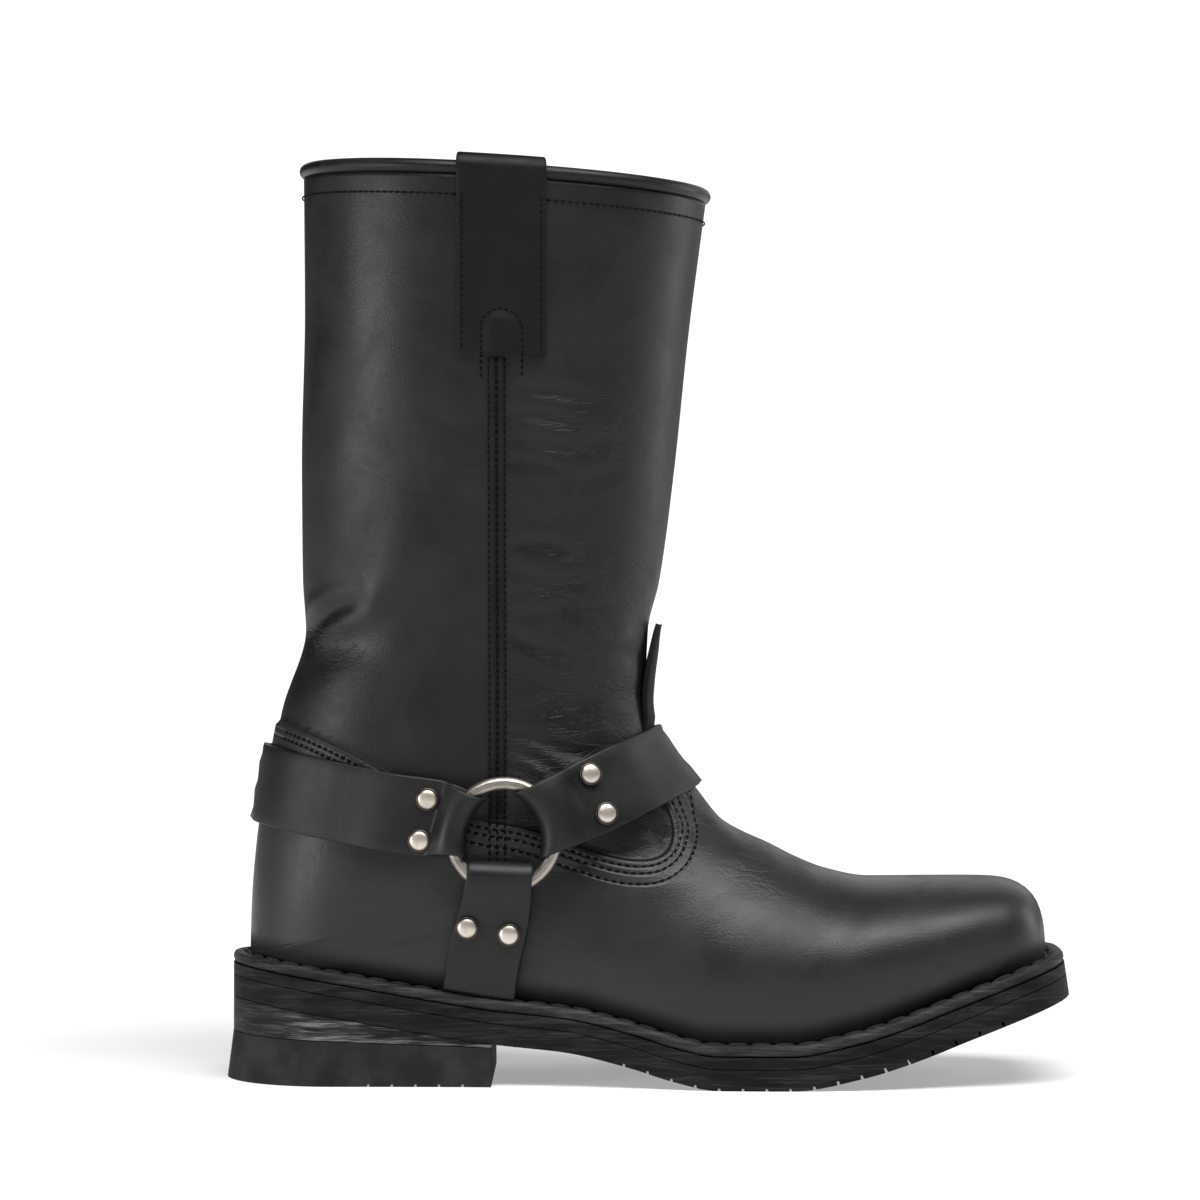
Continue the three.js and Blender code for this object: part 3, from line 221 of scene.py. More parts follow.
# Plan where the foot meets the welt: share of the length, outer half width, inner half width
TOE_PIVOT = FOOT_LENGTH - TOE_REACH
TOE_CORNER = 3.4
TOE_TAPER = 0.13
TAPERING = mix(BALL_WIDTH, TOE_WIDTH, 0.6)
PLAN = (
    (0, HEEL_WIDTH * 0.5, HEEL_WIDTH * 0.5),
    (0.12, HEEL_WIDTH * 0.5, HEEL_WIDTH * 0.5),
    (0.25, HEEL_WIDTH * 0.51, HEEL_WIDTH * 0.48),
    (0.38, WAIST_WIDTH * 0.57, WAIST_WIDTH * 0.46),
    (0.5, BALL_WIDTH * 0.435, BALL_WIDTH * 0.36),
    (0.6, BALL_WIDTH * 0.5, BALL_WIDTH * 0.46),
    (0.68, BALL_WIDTH * 0.51, BALL_WIDTH * 0.49),
    (0.76, BALL_WIDTH * 0.5, BALL_WIDTH * 0.495),
    (0.85, TAPERING * 0.495, TAPERING * 0.513),
    (TOE_PIVOT / FOOT_LENGTH, TOE_WIDTH * 0.49, TOE_WIDTH * 0.515),
)
PLAN_KEYS = [row[0] * FOOT_LENGTH for row in PLAN]
plan_half = {
    OUTER: through(PLAN_KEYS, [row[1] for row in PLAN]),
    INNER: through(PLAN_KEYS, [row[2] for row in PLAN]),
}


def plan(x, side):
    """Half width of the foot where it meets the welt, round at the heel and square at the toe."""
    x = np.asarray(x, float)
    heel = HEEL_WIDTH / 2
    rounding = np.where(x < heel, np.sqrt(np.maximum(0, 1 - (1 - x / heel) ** 2)), 1)
    reach = np.clip((x - TOE_PIVOT) / TOE_REACH, 0, 1)
    square = (1 - TOE_TAPER * reach) * (1 - reach**TOE_CORNER) ** (1 / TOE_CORNER)
    return plan_half[side](x) * rounding * square


# Sections of the upper, each from a base point to a ridge point.
# Columns: reach, height, swell, belly, high, crown, taper
TOE_TOP = float(feather(TOE_PIVOT)) + TOE_HEIGHT
TOE_ROWS = (
    (1, 0, 1, 0, 3.4, 3.4, TOE_TAPER),
    (0.985, 0.5, 1.03, 0.06, 3.3, 3.2, 0.12),
    (0.92, 0.745, 1.05, 0.12, 3.1, 2.9, 0.1),
    (0.8, 0.925, 1.06, 0.2, 3.1, 2.6, 0.06),
    (0.5, 0.995, 1.06, 0.27, 3, 2.5, 0.02),
)
# Columns: front, height, back, outer, inner, belly, low, high, crown
FOOT_ROWS = (
    (0.915, 0.03, 0.883, 0.475, 0.475, 0.32, 2, 2.9, 2.4),
    (0.861, 0.17, 0.81, 0.51, 0.5, 0.34, 2, 2.6, 2.2),
    (0.785, 0.35, 0.709, 0.54, 0.52, 0.36, 2, 2.3, 2),
    (0.727, 0.52, 0.576, 0.535, 0.505, 0.38, 2, 2.1, 1.9),
    (0.688, 0.67, 0.419, 0.485, 0.455, 0.45, 1.9, 2.1, 1.9),
    (0.651, 0.8, 0.244, 0.44, 0.42, 0.55, 1.8, 2.1, 1.9),
    (0.621, 0.89, 0.087, 0.422, 0.412, 0.6, 1.8, 2.1, 1.9),
    (0.593, 1, 0, 0.418, 0.412, 0.62, 4.2, 2.1, 1.9),
)
# Columns: front, height, back, climb, width, belly, low
HEEL_ROWS = (
    (0.63, 0.167, 0.03, 0.16, 0.94, 0.62, 3.9),
    (0.29, 0.33, 0.12, 0.335, 0.93, 0.6, 3.5),
    (0.04, 0.48, 0.3, 0.53, 0.93, 0.57, 3),
    (-0.03, 0.68, 0.57, 0.75, 0.95, 0.53, 2.6),
)
# Columns: up, set, depth, width, belly
SHAFT_ROWS = (
    (0, 1.04, 0, 0, 0.5),
    (0.11, 0.98, 0.19, 0.17, 0.5),
    (0.38, 0.96, 0.46, 0.5, 0.5),
    (0.7, 1.02, 0.71, 0.79, 0.49),
    (1, 1, 1, 1, 0.48),
)
SEAT_HEIGHT = float(feather(0))
INSTEP_FRONT = FOOT_ROWS[-1][0] * FOOT_LENGTH
INSTEP_TOP = float(feather(INSTEP_FRONT)) + INSTEP_HEIGHT
ANKLE_FRONT = SHAFT_SET + ANKLE_DEPTH
ANKLE_TOP = SEAT_HEIGHT + ANKLE_HEIGHT
COLUMNS = ("front", "top", "back", "climb", "outer", "inner", "belly", "low", "high", "crown", "taper")
# Roundness of the sections where a table gives none
LOW = 2.2
HIGH = 2.1
CROWN = 1.9


def key_rows():
    """One tuple in the order of COLUMNS for each section of the tables."""
    rows = []
    for reach, height, swell, belly, high, crown, taper in TOE_ROWS:
        front = TOE_PIVOT + reach * TOE_REACH
        top = mix(float(feather(FOOT_LENGTH)), TOE_TOP, height)
        outer = float(plan_half[OUTER](TOE_PIVOT)) * swell
        inner = float(plan_half[INNER](TOE_PIVOT)) * swell
        rows.append((front, top, TOE_PIVOT, 0, outer, inner, belly, LOW, high, crown, taper))
    for at, height, back, outer, inner, belly, low, high, crown in FOOT_ROWS:
        front = at * FOOT_LENGTH
        top = float(feather(front)) + mix(TOE_HEIGHT, INSTEP_HEIGHT, height)
        widths = (outer * BALL_WIDTH, inner * BALL_WIDTH)
        rows.append((front, top, back * FOOT_LENGTH, 0, *widths, belly, low, high, crown, 0))
    for at, height, back, climb, width, belly, low in HEEL_ROWS:
        front = mix(ANKLE_FRONT, INSTEP_FRONT, at)
        top = mix(INSTEP_TOP, ANKLE_TOP, height)
        half = width * ANKLE_WIDTH / 2
        start = (back * SHAFT_SET, climb * ANKLE_HEIGHT)
        rows.append((front, top, *start, half, half, belly, low, HIGH, CROWN, 0))
    for up, back, depth, width, belly in SHAFT_ROWS:
        climb = mix(ANKLE_HEIGHT, SHAFT_HEIGHT, up)
        half = mix(ANKLE_WIDTH, COLLAR_WIDTH, width) / 2
        front = SHAFT_SET + mix(ANKLE_DEPTH, COLLAR_DEPTH, depth)
        top = SEAT_HEIGHT + climb - COLLAR_DROP * up
        rows.append((front, top, SHAFT_SET * back, climb, half, half, belly, LOW, HIGH, 2, 0))
    return np.array(rows, float)


KEY_ROWS = key_rows()
ridge_travel = np.hypot(np.diff(KEY_ROWS[:, 0]), np.diff(KEY_ROWS[:, 1]))
base_travel = np.hypot(np.diff(KEY_ROWS[:, 2]), np.diff(KEY_ROWS[:, 3]))
ROW_KEYS = np.concatenate([[0], np.cumsum((ridge_travel + base_travel) / 2)])
row_curves = {name: through(ROW_KEYS, KEY_ROWS[:, i]) for i, name in enumerate(COLUMNS)}


def sections(keys):
    """The sections at an array of keys, with their bases on the feather line or up the back."""
    rows = {name: curve(keys) for name, curve in row_curves.items()}
    closed = rows["climb"] > TINY
    rows["base"] = np.where(closed, SEAT_HEIGHT + rows["climb"], feather(rows["back"]))
    for side in (OUTER, INNER):
        rows[side] = np.where(closed, 0, plan(rows["back"], side))
    return rows


def half_width(rows, share, side):
    """Half width of sections at shares of the way from base to ridge."""
    widest = rows["outer"] if side == OUTER else rows["inner"]
    foot = rows[side]
    narrow = 1 - rows["taper"] * share
    fall = np.clip(1 - share / np.maximum(rows["belly"], TINY), 0, 1)
    power = mix(2, 1, np.clip(foot / widest, 0, 1))
    lower = foot + (widest - foot) * (1 - fall ** rows["low"]) ** (1 / power)
    climb = np.clip((share - rows["belly"]) / (1 - rows["belly"]), 0, 1)
    upper = widest * (1 - climb ** rows["high"]) ** (1 / rows["crown"])
    return np.where(share < rows["belly"], lower, upper) * narrow


# Queries on the leather's surface, seen from the side
fine_rows = sections(np.linspace(0, ROW_KEYS[-1], 241))
fine_run = fine_rows["front"] - fine_rows["back"]
fine_rise = fine_rows["top"] - fine_rows["base"]


def flank(x, z, side):
    """Half width of the boot at points of its side view, on the side that each asks for."""
    x, z, side = np.broadcast_arrays(np.asarray(x, float), np.asarray(z, float), side)
    shape = x.shape
    x, z, side = x.ravel(), z.ravel(), side.ravel()
    beside = fine_run * (z[:, None] - fine_rows["base"]) - fine_rise * (x[:, None] - fine_rows["back"])
    behind = beside < 0
    behind[:, 0] = False
    low = np.where(behind.any(1), behind.argmax(1), len(fine_run) - 1) - 1
    ends = []
    for at in (low, low + 1):
        rows = {name: column[at] for name, column in fine_rows.items()}
        run, rise = fine_run[at], fine_rise[at]
        share = ((x - rows["back"]) * run + (z - rows["base"]) * rise) / (run * run + rise * rise)
        inside = np.clip(share, 0, 1)
        half = np.where(side < 0, half_width(rows, inside, OUTER), half_width(rows, inside, INNER))
        ends.append(np.where(share > 1, 0, half))
    index = np.arange(len(x))
    under, over = beside[index, low], beside[index, low + 1]
    gap = under - over
    t = np.clip(under / np.where(gap == 0, 1, gap), 0, 1)
    found = np.where(beside[:, 0] < 0, 0, mix(ends[0], ends[1], t))
    return found.reshape(shape)


def on_flank(x, z, side):
    """Points and outward normals on the leather, at places of the side view."""
    x, z, side = np.broadcast_arrays(np.asarray(x, float), np.asarray(z, float), side)
    probe = 0.5
    across = flank(x, z, side)
    slope_x = (flank(x + probe, z, side) - flank(x - probe, z, side)) / (2 * probe)
    slope_z = (flank(x, z + probe, side) - flank(x, z - probe, side)) / (2 * probe)
    points = np.stack([x, side * across, z], -1)
    return points, unit(np.stack([-slope_x, side + 0.0, -slope_z], -1))


# Top edge of vamp and counter in the side view: shares of the foot's length and the ankle's height
VAMP_EDGE = (
    (-0.1, 0.78),
    (0.04, 0.717),
    (0.143, 0.611),
    (0.22, 0.49),
    (0.283, 0.42),
    (0.35, 0.4),
    (0.412, 0.341),
    (0.453, 0.307),
    (0.485, 0.293),
    (0.512, 0.297),
    (0.529, 0.327),
    (0.534, 0.375),
    (0.53, 0.43),
    (0.519, 0.48),
    (0.505, 0.56),
    (0.5, 0.66),
    (0.62, 0.9),
)


def side_points(table):
    """Side view places of a table in shares of the foot's length and the ankle's height."""
    return np.array([(along * FOOT_LENGTH, SEAT_HEIGHT + up * ANKLE_HEIGHT) for along, up in table])


def rounded(points, rounds=2):
    """A polyline with its corners cut again and again."""
    for _ in range(rounds):
        first = points[:-1] * 0.75 + points[1:] * 0.25
        second = points[:-1] * 0.25 + points[1:] * 0.75
        cut = np.stack([first, second], 1).reshape(-1, points.shape[1])
        points = np.concatenate([points[:1], cut, points[-1:]])
    return points


vamp_edge = rounded(side_points(VAMP_EDGE))
vamp_region = np.concatenate([vamp_edge, side_points([(1.2, 0.9), (1.2, -0.7), (-0.2, -0.7), (-0.2, 0.78)])])


def distance_to(points, line):
    """Distance of side view points to a polyline, and the share of the way along it of the nearest place."""
    start, step = line[:-1], np.diff(line, axis=0)
    length = np.maximum(np.linalg.norm(step, axis=1), TINY)
    before = np.concatenate([[0], np.cumsum(length)])
    best = np.full(len(points), np.inf)
    along = np.zeros(len(points))
    for i in range(len(start)):
        t = np.clip(((points - start[i]) @ step[i]) / length[i] ** 2, 0, 1)
        gap = np.linalg.norm(points - start[i] - t[:, None] * step[i], axis=1)
        nearer = gap < best
        best = np.where(nearer, gap, best)
        along = np.where(nearer, (before[i] + t * length[i]) / before[-1], along)
    return best, along


def inside_region(points, region):
    """Whether each side view point lies in a closed polygon."""
    inside = np.zeros(len(points), bool)
    for a, b in zip(region, np.roll(region, -1, axis=0)):
        spans = (a[1] > points[:, 1]) != (b[1] > points[:, 1])
        rise = b[1] - a[1] if b[1] != a[1] else TINY
        cross = a[0] + (points[:, 1] - a[1]) * (b[0] - a[0]) / rise
        inside ^= spans & (points[:, 0] < cross)
    return inside


def vamp_depth(points):
    """How far side view points lie inside the vamp and counter, in millimetres, negative outside."""
    gap, _ = distance_to(points, vamp_edge)
    return np.where(inside_region(points, vamp_region), gap, -gap)


# The leather's surface as a grid of rows from the toe to the collar
ROW_SPACING = 1.6
ACROSS = 236
LINING_ROWS = 60
# Rounds of smoothing of the toe's corners and of the normals, and where the smoothing of the toe sets in
TOE_ROUNDS = 14
NORMAL_ROUNDS = 12
TOE_SOFT_FROM = TOE_PIVOT - 25
TOE_SOFT_RUN = 20


def spaced_rows():
    """Keys of the rows, with every section of the tables among them."""
    keys = []
    for low, high in zip(ROW_KEYS[:-1], ROW_KEYS[1:]):
        keys.extend(np.linspace(low, high, max(2, round((high - low) / ROW_SPACING) + 1))[:-1])
    return np.array(keys + [ROW_KEYS[-1]])


def section_line(rows, i, count):
    """Points of one section at even lengths, from the outer base over the ridge to the inner base."""
    belly, low, high = rows["belly"][i], rows["low"][i], rows["high"][i]
    turn = np.linspace(0, math.pi, 181)
    rising = belly * (1 - np.clip(np.cos(turn), 0, 1) ** (2 / low))
    closing = belly + (1 - belly) * np.clip(-np.cos(turn), 0, 1) ** (2 / high)
    share = np.where((turn < math.pi / 2) & (belly > 0), rising, closing)
    one = {name: column[i] for name, column in rows.items()}
    x = mix(one["back"], one["front"], share)
    z = mix(one["base"], one["top"], share)
    outer = np.stack([x, -half_width(one, share, OUTER), z], -1)
    inner = np.stack([x, half_width(one, share, INNER), z], -1)
    line = np.concatenate([outer, inner[-2::-1]])
    lengths = travel(line)
    return sampled(np.linspace(0, lengths[-1], count), lengths, line)


leather_rows = sections(spaced_rows())
leather = np.array([section_line(leather_rows, i, ACROSS + 1) for i in range(len(leather_rows["front"]))])
heel_row = int(np.argmax(leather_rows["climb"] > TINY)) - 1
at_toe = ease((leather[1:-1, 1:-1, :1] - TOE_SOFT_FROM) / TOE_SOFT_RUN)
for _ in range(TOE_ROUNDS):
    beside = leather[:-2, 1:-1] + leather[2:, 1:-1] + leather[1:-1, :-2] + leather[1:-1, 2:]
    leather[1:-1, 1:-1] = mix(leather[1:-1, 1:-1], beside / 4, 0.7 * at_toe)


def surface_normals(grid):
    """Outward normals of the leather's grid, level at the welt and square to the rim at the collar."""
    along = np.empty_like(grid)
    along[1:-1] = grid[2:] - grid[:-2]
    along[0] = grid[1] - grid[0]
    along[-1] = grid[-1] - grid[-2]
    along[heel_row] = grid[heel_row + 1] - grid[heel_row]
    around = np.empty_like(grid)
    around[:, 1:-1] = grid[:, 2:] - grid[:, :-2]
    around[:, 0] = grid[:, 1] - grid[:, 0]
    around[:, -1] = grid[:, -1] - grid[:, -2]
    around[heel_row:, 0] = around[heel_row:, -1] = grid[heel_row:, 1] - grid[heel_row:, -2]
    normals = np.cross(around, along)
    normals[heel_row:, 0] = normals[heel_row:, -1]
    normals[:heel_row, (0, -1), 2] = 0
    normals[0, :, 2] = 0
    normals[..., 2] = np.maximum(normals[..., 2], 0)
    normals = unit(normals)
    for _ in range(NORMAL_ROUNDS):
        beside = normals[:-2, 1:-1] + normals[2:, 1:-1] + normals[1:-1, :-2] + normals[1:-1, 2:]
        normals[1:-1, 1:-1] = unit(beside + normals[1:-1, 1:-1])
    return normals


leather_normals = surface_normals(leather)

# Creases and folds of the leather, placed in the side view.
# Columns: from x, z to x, z, bow, depth below the surface (negative for a ridge), width
CREASES = (
    (20, 159, 40, 172, 3, 1.7, 3.2),
    (24, 164, 52, 180, -2, -0.7, 5),
    (22, 150, 46, 156, 2, 0.5, 5),
    (44, 168, 62, 190, 4, -1.1, 9),
    (30, 186, 60, 176, -4, 0.8, 8),
    (32, 205, 58, 222, 5, 0.6, 9),
    (28, 240, 52, 228, 4, 0.5, 11),
    (70, 225, 78, 178, 3, 0.5, 9),
    (96, 246, 124, 243, 2, 0.7, 2.6),
    (94, 238, 120, 232, 3, 0.8, 2.4),
    (97, 230, 126, 228, -2, 0.7, 2.4),
    (95, 222, 116, 216, 2, 0.7, 2.2),
    (104, 214, 132, 219, -2, 0.6, 2.6),
    (100, 262, 116, 259, 2, 0.5, 2.2),
    (95, 192, 118, 188, 3, 0.8, 2.4),
    (94, 184, 122, 180, -3, 0.9, 2.4),
    (96, 176, 118, 170, 2, 0.9, 2.2),
    (100, 168, 130, 164, 3, 0.8, 2.6),
    (95, 161, 116, 155, -2, 0.8, 2.4),
    (92, 126, 118, 114, 2, 0.8, 1.9),
    (95, 120, 114, 108, 2, 0.9, 1.9),
    (103, 128, 124, 117, -2, 0.7, 1.9),
    (93, 114, 106, 106, 2, 0.6, 1.7),
    (112, 150, 142, 152, 3, 0.7, 3.2),
    (106, 143, 140, 139, -3, 0.7, 3.4),
    (104, 134, 134, 128, 3, 0.7, 3),
    (102, 125, 124, 117, -2, 0.6, 2.6),
    (100, 118, 112, 110, 2, 0.5, 2.4),
    (140, 92, 152, 84, 2, 0.8, 2.4),
    (150, 100, 163, 89, 3, 1.3, 3.2),
    (156, 103, 168, 94, 2, -0.7, 4),
    (168, 95, 178, 84, 3, 0.45, 3),
    (175, 92, 184, 82, 2, 0.35, 3),
    (186, 86, 196, 70, 4, 0.35, 4),
    (198, 84, 206, 66, 4, 0.3, 4),
    (36, 60, 74, 52, 3, 0.5, 9),
    (120, 70, 176, 60, -6, 0.6, 12),
)


# Creases fade out this near the boot's middle, and the vamp's step rises over this run
RIDGE_REACH = 14
STEP_RUN = 1.2


def crease_depth(x, z, y):
    """How far the creases and folds sink the leather at its points, negative where they raise it."""
    points = np.stack([x, z], -1)
    sunk = np.zeros(len(points))
    for ax, az, bx, bz, bow, depth, width in CREASES:
        a, b = np.array([ax, az], float), np.array([bx, bz], float)
        across = unit(np.array([-(b - a)[1], (b - a)[0]]))
        share = np.linspace(0, 1, 9)
        line = a + share[:, None] * (b - a) + (bow * 4 * share * (1 - share))[:, None] * across
        near = np.hypot(*(points - (a + b) / 2).T) < np.linalg.norm(b - a) + 3 * width
        gap, along = distance_to(points[near], line)
        taper = np.sin(math.pi * np.clip(0.06 + 0.88 * along, 0, 1)) ** 0.7
        shape = np.exp(-((gap / width) ** 2)) - 0.35 * np.exp(-(((gap - 1.9 * width) / width) ** 2))
        sunk[near] += depth * taper * shape
    return sunk * ease(np.abs(y) / RIDGE_REACH)


def leather_surface():
    """The outer face of the leather with its vamp step and creases."""
    x, y, z = leather.reshape(-1, 3).T
    step = VAMP_STEP * ease(vamp_depth(np.stack([x, z], -1)) / STEP_RUN + 0.5)
    offset = (step - crease_depth(x, z, y)).reshape(leather.shape[:2])
    offset[:heel_row + 1, 0] = np.clip(offset[:heel_row + 1, 0], 0, VAMP_STEP)
    return leather + offset[..., None] * leather_normals


# Corners nearer than this are one, in metres
MERGE = 2e-6
FINE_MERGE = 1e-7


def bent_grid(across, along, place, lined_from=None):
    """A grid sheet whose corners are set by place, which takes shares across and along."""
    sheet = bmesh.new()
    bmesh.ops.create_grid(sheet, x_segments=across, y_segments=along, size=0.5)
    if lined_from:
        for face in sheet.faces:
            face.material_index = int(face.calc_center_median().y + 0.5 > lined_from)
    shares = np.array([corner.co.xy for corner in sheet.verts]) + 0.5
    for corner, point in zip(sheet.verts, placed(place(shares[:, 0], shares[:, 1]))):
        corner.co = point
    return sheet


def closed_up(sheet, cap=True):
    """Joins a sheet's meeting edges, fills what is left open and turns its faces outwards."""
    bmesh.ops.remove_doubles(sheet, verts=sheet.verts, dist=MERGE)
    bmesh.ops.dissolve_degenerate(sheet, edges=sheet.edges, dist=FINE_MERGE)
    if cap:
        rims = [edge for edge in sheet.edges if edge.is_boundary]
        if rims:
            bmesh.ops.holes_fill(sheet, edges=rims, sides=0)
    bmesh.ops.recalc_face_normals(sheet, faces=sheet.faces)
    return sheet


def mesh_from(name, sheet):
    """A mesh made from a bmesh, which is freed."""
    mesh = bpy.data.meshes.new(name)
    sheet.to_mesh(mesh)
    sheet.free()
    return mesh


def add_object(name, data):
    """A new object of the scene for a mesh, a light or a camera."""
    made = bpy.data.objects.new(name, data)
    bpy.context.scene.collection.objects.link(made)
    return made


def make_real(piece):
    """Puts what a piece's modifiers make into its mesh."""
    bpy.context.view_layer.update()
    seen = piece.evaluated_get(bpy.context.evaluated_depsgraph_get())
    piece.data = bpy.data.meshes.new_from_object(seen)
    piece.modifiers.clear()


def set_piece(name, sheet, materials, nodes=()):
    """Makes a mesh piece of the boot, which stands for its solids."""
    mesh = mesh_from(name, sheet)
    mesh.shade_smooth()
    for material in materials:
        mesh.materials.append(material)
    piece = add_object(name, mesh)
    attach(piece, "root")
    if nodes:
        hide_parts(*nodes)
    return piece


def sharp_shading(piece, degrees):
    """Smooth shading that keeps edges over an angle sharp."""
    piece.data.set_sharp_from_angle(angle=math.radians(degrees))


def add_values(piece, name, values):
    """A value for each corner of a piece's mesh, for its material to read."""
    attribute = piece.data.attributes.new(name, "FLOAT", "POINT")
    attribute.data.foreach_set("value", np.asarray(values, np.float32))


def corners_of(piece):
    """Corner places of a piece in the boot's layout, in millimetres."""
    flat = np.zeros(len(piece.data.vertices) * 3)
    piece.data.vertices.foreach_get("co", flat)
    return flat.reshape(-1, 3) / MILLIMETRE + (FRAME_SHIFT, 0, 0)


def make_upper():
    """The foot and shaft as one lined leather shell, with its vamp step, folds and creases."""
    rows = leather.shape[0] - 1
    picked = np.rint(np.linspace(rows, 0, LINING_ROWS)).astype(int)
    shell = np.concatenate([leather_surface(), (leather - leather_normals * WALL)[picked]])
    last = len(shell) - 1

    def place(across, along):
        return shell[corner_index(along, last), corner_index(across, ACROSS)]

    sheet = bent_grid(ACROSS, last, place, (rows + 0.5) / last)
    bmesh.ops.remove_doubles(sheet, verts=sheet.verts, dist=MERGE)
    bmesh.ops.bridge_loops(sheet, edges=[edge for edge in sheet.edges if edge.is_boundary])
    bmesh.ops.recalc_face_normals(sheet, faces=sheet.faces)
    piece = set_piece("boot_upper", sheet, [leather_oiled, lining_leather], ["upper"])
    at = corners_of(piece)
    # The vamp depth also places the paler vamp, which is partly a painted sheen, and a line of painted shade
    # at the vamp's edge.
    add_values(piece, "vamp", vamp_depth(at[:, [0, 2]]))
    add_values(piece, "wrinkle", wrinkle_amount(at))
    # The height above the welt places a band of painted shade and dirt along the welt.
    add_values(piece, "above_welt", at[:, 2] - feather(at[:, 0]))


# Where the leather is finely wrinkled: x, z, reach along X, reach along Z, strength
WRINKLED = (
    (122, 232, 24, 16, 0.75),
    (120, 178, 26, 20, 0.9),
    (122, 140, 24, 18, 0.9),
    (112, 118, 20, 12, 1.0),
    (98, 92, 16, 14, 1.0),
    (30, 158, 16, 14, 0.6),
    (154, 92, 16, 12, 1.0),
    (186, 80, 20, 14, 0.6),
    (60, 200, 40, 40, 0.25),
)


def wrinkle_amount(at):
    """Strength of the fine wrinkles at points of the leather."""
    amount = np.full(len(at), 0.08)
    for x, z, reach_x, reach_z, strength in WRINKLED:
        far = ((at[:, 0] - x) / reach_x) ** 2 + ((at[:, 2] - z) / reach_z) ** 2
        amount = np.maximum(amount, strength * np.exp(-far))
    return amount


# Sole layers: stations pair an outer and an inner point of the plan, set out by a margin
def station_places():
    """Places along the plan, closer together round the heel and the toe's corners."""
    heel = HEEL_WIDTH / 2
    heel_end = heel * (1 - np.cos(np.linspace(0, math.pi / 2, 21)[:-1]))
    body = np.linspace(heel, TOE_PIVOT, 61)[:-1]
    toe_end = TOE_PIVOT + TOE_REACH * np.sin(np.linspace(0, math.pi / 2, 25)) ** (2 / TOE_CORNER)
    return np.concatenate([heel_end, body, toe_end])


def rim_rails(margin, until=None):
    """Outer and inner rim points of the plan at each station, as an array of stations, sides and x, y."""
    places = station_places()
    rails = []
    for _, side in SIDES:
        line = np.stack([places, side * plan(places, side)], -1)
        before = np.concatenate([[[line[1, 0], -side * plan(places[1:2], -side)[0]]], line[:-1]])
        after = np.concatenate([line[1:], [[line[-2, 0], -side * plan(places[-2:-1], -side)[0]]]])
        along = unit(after - before)
        rails.append(line + margin * np.stack([-along[:, 1] * side, along[:, 0] * side], -1))
    rails = np.stack(rails, 1)
    if until is None:
        return rails
    kept = rails[rails[:, :, 0].max(1) < until - 1]
    last = [[until, side * (float(plan(until, side)) + margin)] for _, side in SIDES]
    return np.concatenate([kept, [last]])


SPRING_LEAN = 0.5


def leaned(flat, z):
    """Rim points at their heights, moved forward where the toe springs, so that rims stay square to it."""
    x = flat[..., 0]
    lean = SPRING_LEAN * np.maximum(0, (feather(x + 4) - feather(x - 4)) / 8)
    return np.stack([x + lean * (feather(x) - z), flat[..., 1], z], -1)


def make_layer(name, top, bottom, material, node, flare=0.0, until=None, edge=0.6):
    """A layer between two heights over the plan, with rounded rims."""
    rims = (rim_rails(WELT_WIDTH, until), rim_rails(WELT_WIDTH + flare, until))
    heights = (top, bottom)
    stations = len(rims[0]) - 1
    shares = np.linspace(0, 1, 7)
    loop = [(share, 0) for share in shares] + [(share, 1) for share in shares[::-1]] + [(0, 0)]

    def place(around, along):
        points = np.zeros((len(around), 3))
        station = corner_index(along, stations)
        turn = corner_index(around, len(loop) - 1)
        for k, (share, level) in enumerate(loop):
            here = turn == k
            rails = rims[level][station[here]]
            flat = mix(rails[:, 0], rails[:, 1], share)
            points[here] = leaned(flat, heights[level](flat[:, 0]) + 0 * flat[:, 0])
        return points

    sheet = closed_up(bent_grid(len(loop) - 1, stations, place))
    corner = math.radians(50)
    rim_edges = [e for e in sheet.edges if len(e.link_faces) == 2 and e.calc_face_angle(0) > corner]
    bmesh.ops.bevel(sheet, geom=rim_edges, offset=edge * MILLIMETRE, segments=3, profile=0.5,
                    affect="EDGES", material=-1, clamp_overlap=True)
    piece = set_piece(name, sheet, [material], [node])
    sharp_shading(piece, 60)
    return piece


def rim_loop(margin, rise):
    """A closed loop round the sole at a margin, and at a rise above the underside."""
    rails = rim_rails(margin)
    loop = np.concatenate([rails[:, 0], rails[-2:0:-1, 1], rails[:1, 0]])
    return leaned(loop, underside(loop[:, 0]) + rise)


def make_welt():
    """The welt as a closed band swept round the sole."""
    loops = np.array([rim_loop(margin, rise) for margin, rise in (*WELT_PROFILE, WELT_PROFILE[0])])
    turns, count = len(loops) - 1, loops.shape[1] - 1

    def place(around, along):
        return loops[corner_index(around, turns), corner_index(along, count)]

    sheet = closed_up(bent_grid(turns, count, place))
    sharp_shading(set_piece("boot_welt", sheet, [welt_rubber], ["welt"]), 50)


def cut_gaps(piece, start, end, height):
    """Cuts the gaps between the lugs in from both edges of a sole piece."""
    tool = bmesh.new()
    for _, side in SIDES:
        for x in np.arange(start, end, LUG_PITCH):
            rise = math.atan2(float(height(x + 1)) - float(height(x - 1)), 2)
            centre = placed([x, side * (float(plan(x, side)) + WELT_WIDTH), float(height(x))])
            size = Matrix.Diagonal((*(np.array([LUG_GAP, 2 * LUG_REACH, 2 * LUG_DEPTH]) * MILLIMETRE), 1))
            turn = Matrix.Rotation(-rise, 4, "Y")
            bmesh.ops.create_cube(tool, size=1, matrix=Matrix.Translation(centre) @ turn @ size)
    cutter = add_object("gap_tool", mesh_from("gap_tool", tool))
    cut = piece.modifiers.new("gaps", "BOOLEAN")
    cut.operation = "DIFFERENCE"
    cut.solver = "EXACT"
    cut.object = cutter
    make_real(piece)
    bpy.data.objects.remove(cutter)
    sharp_shading(piece, 40)


# Belts round the boot: a belt's plane crosses the side view through the ring's centre at an angle
RING_PLACE = np.array([RING_SET_BACK, RING_HEIGHT], float)
BELT_SAMPLES = 180
BELT_REACH = 200
HALVINGS = 24


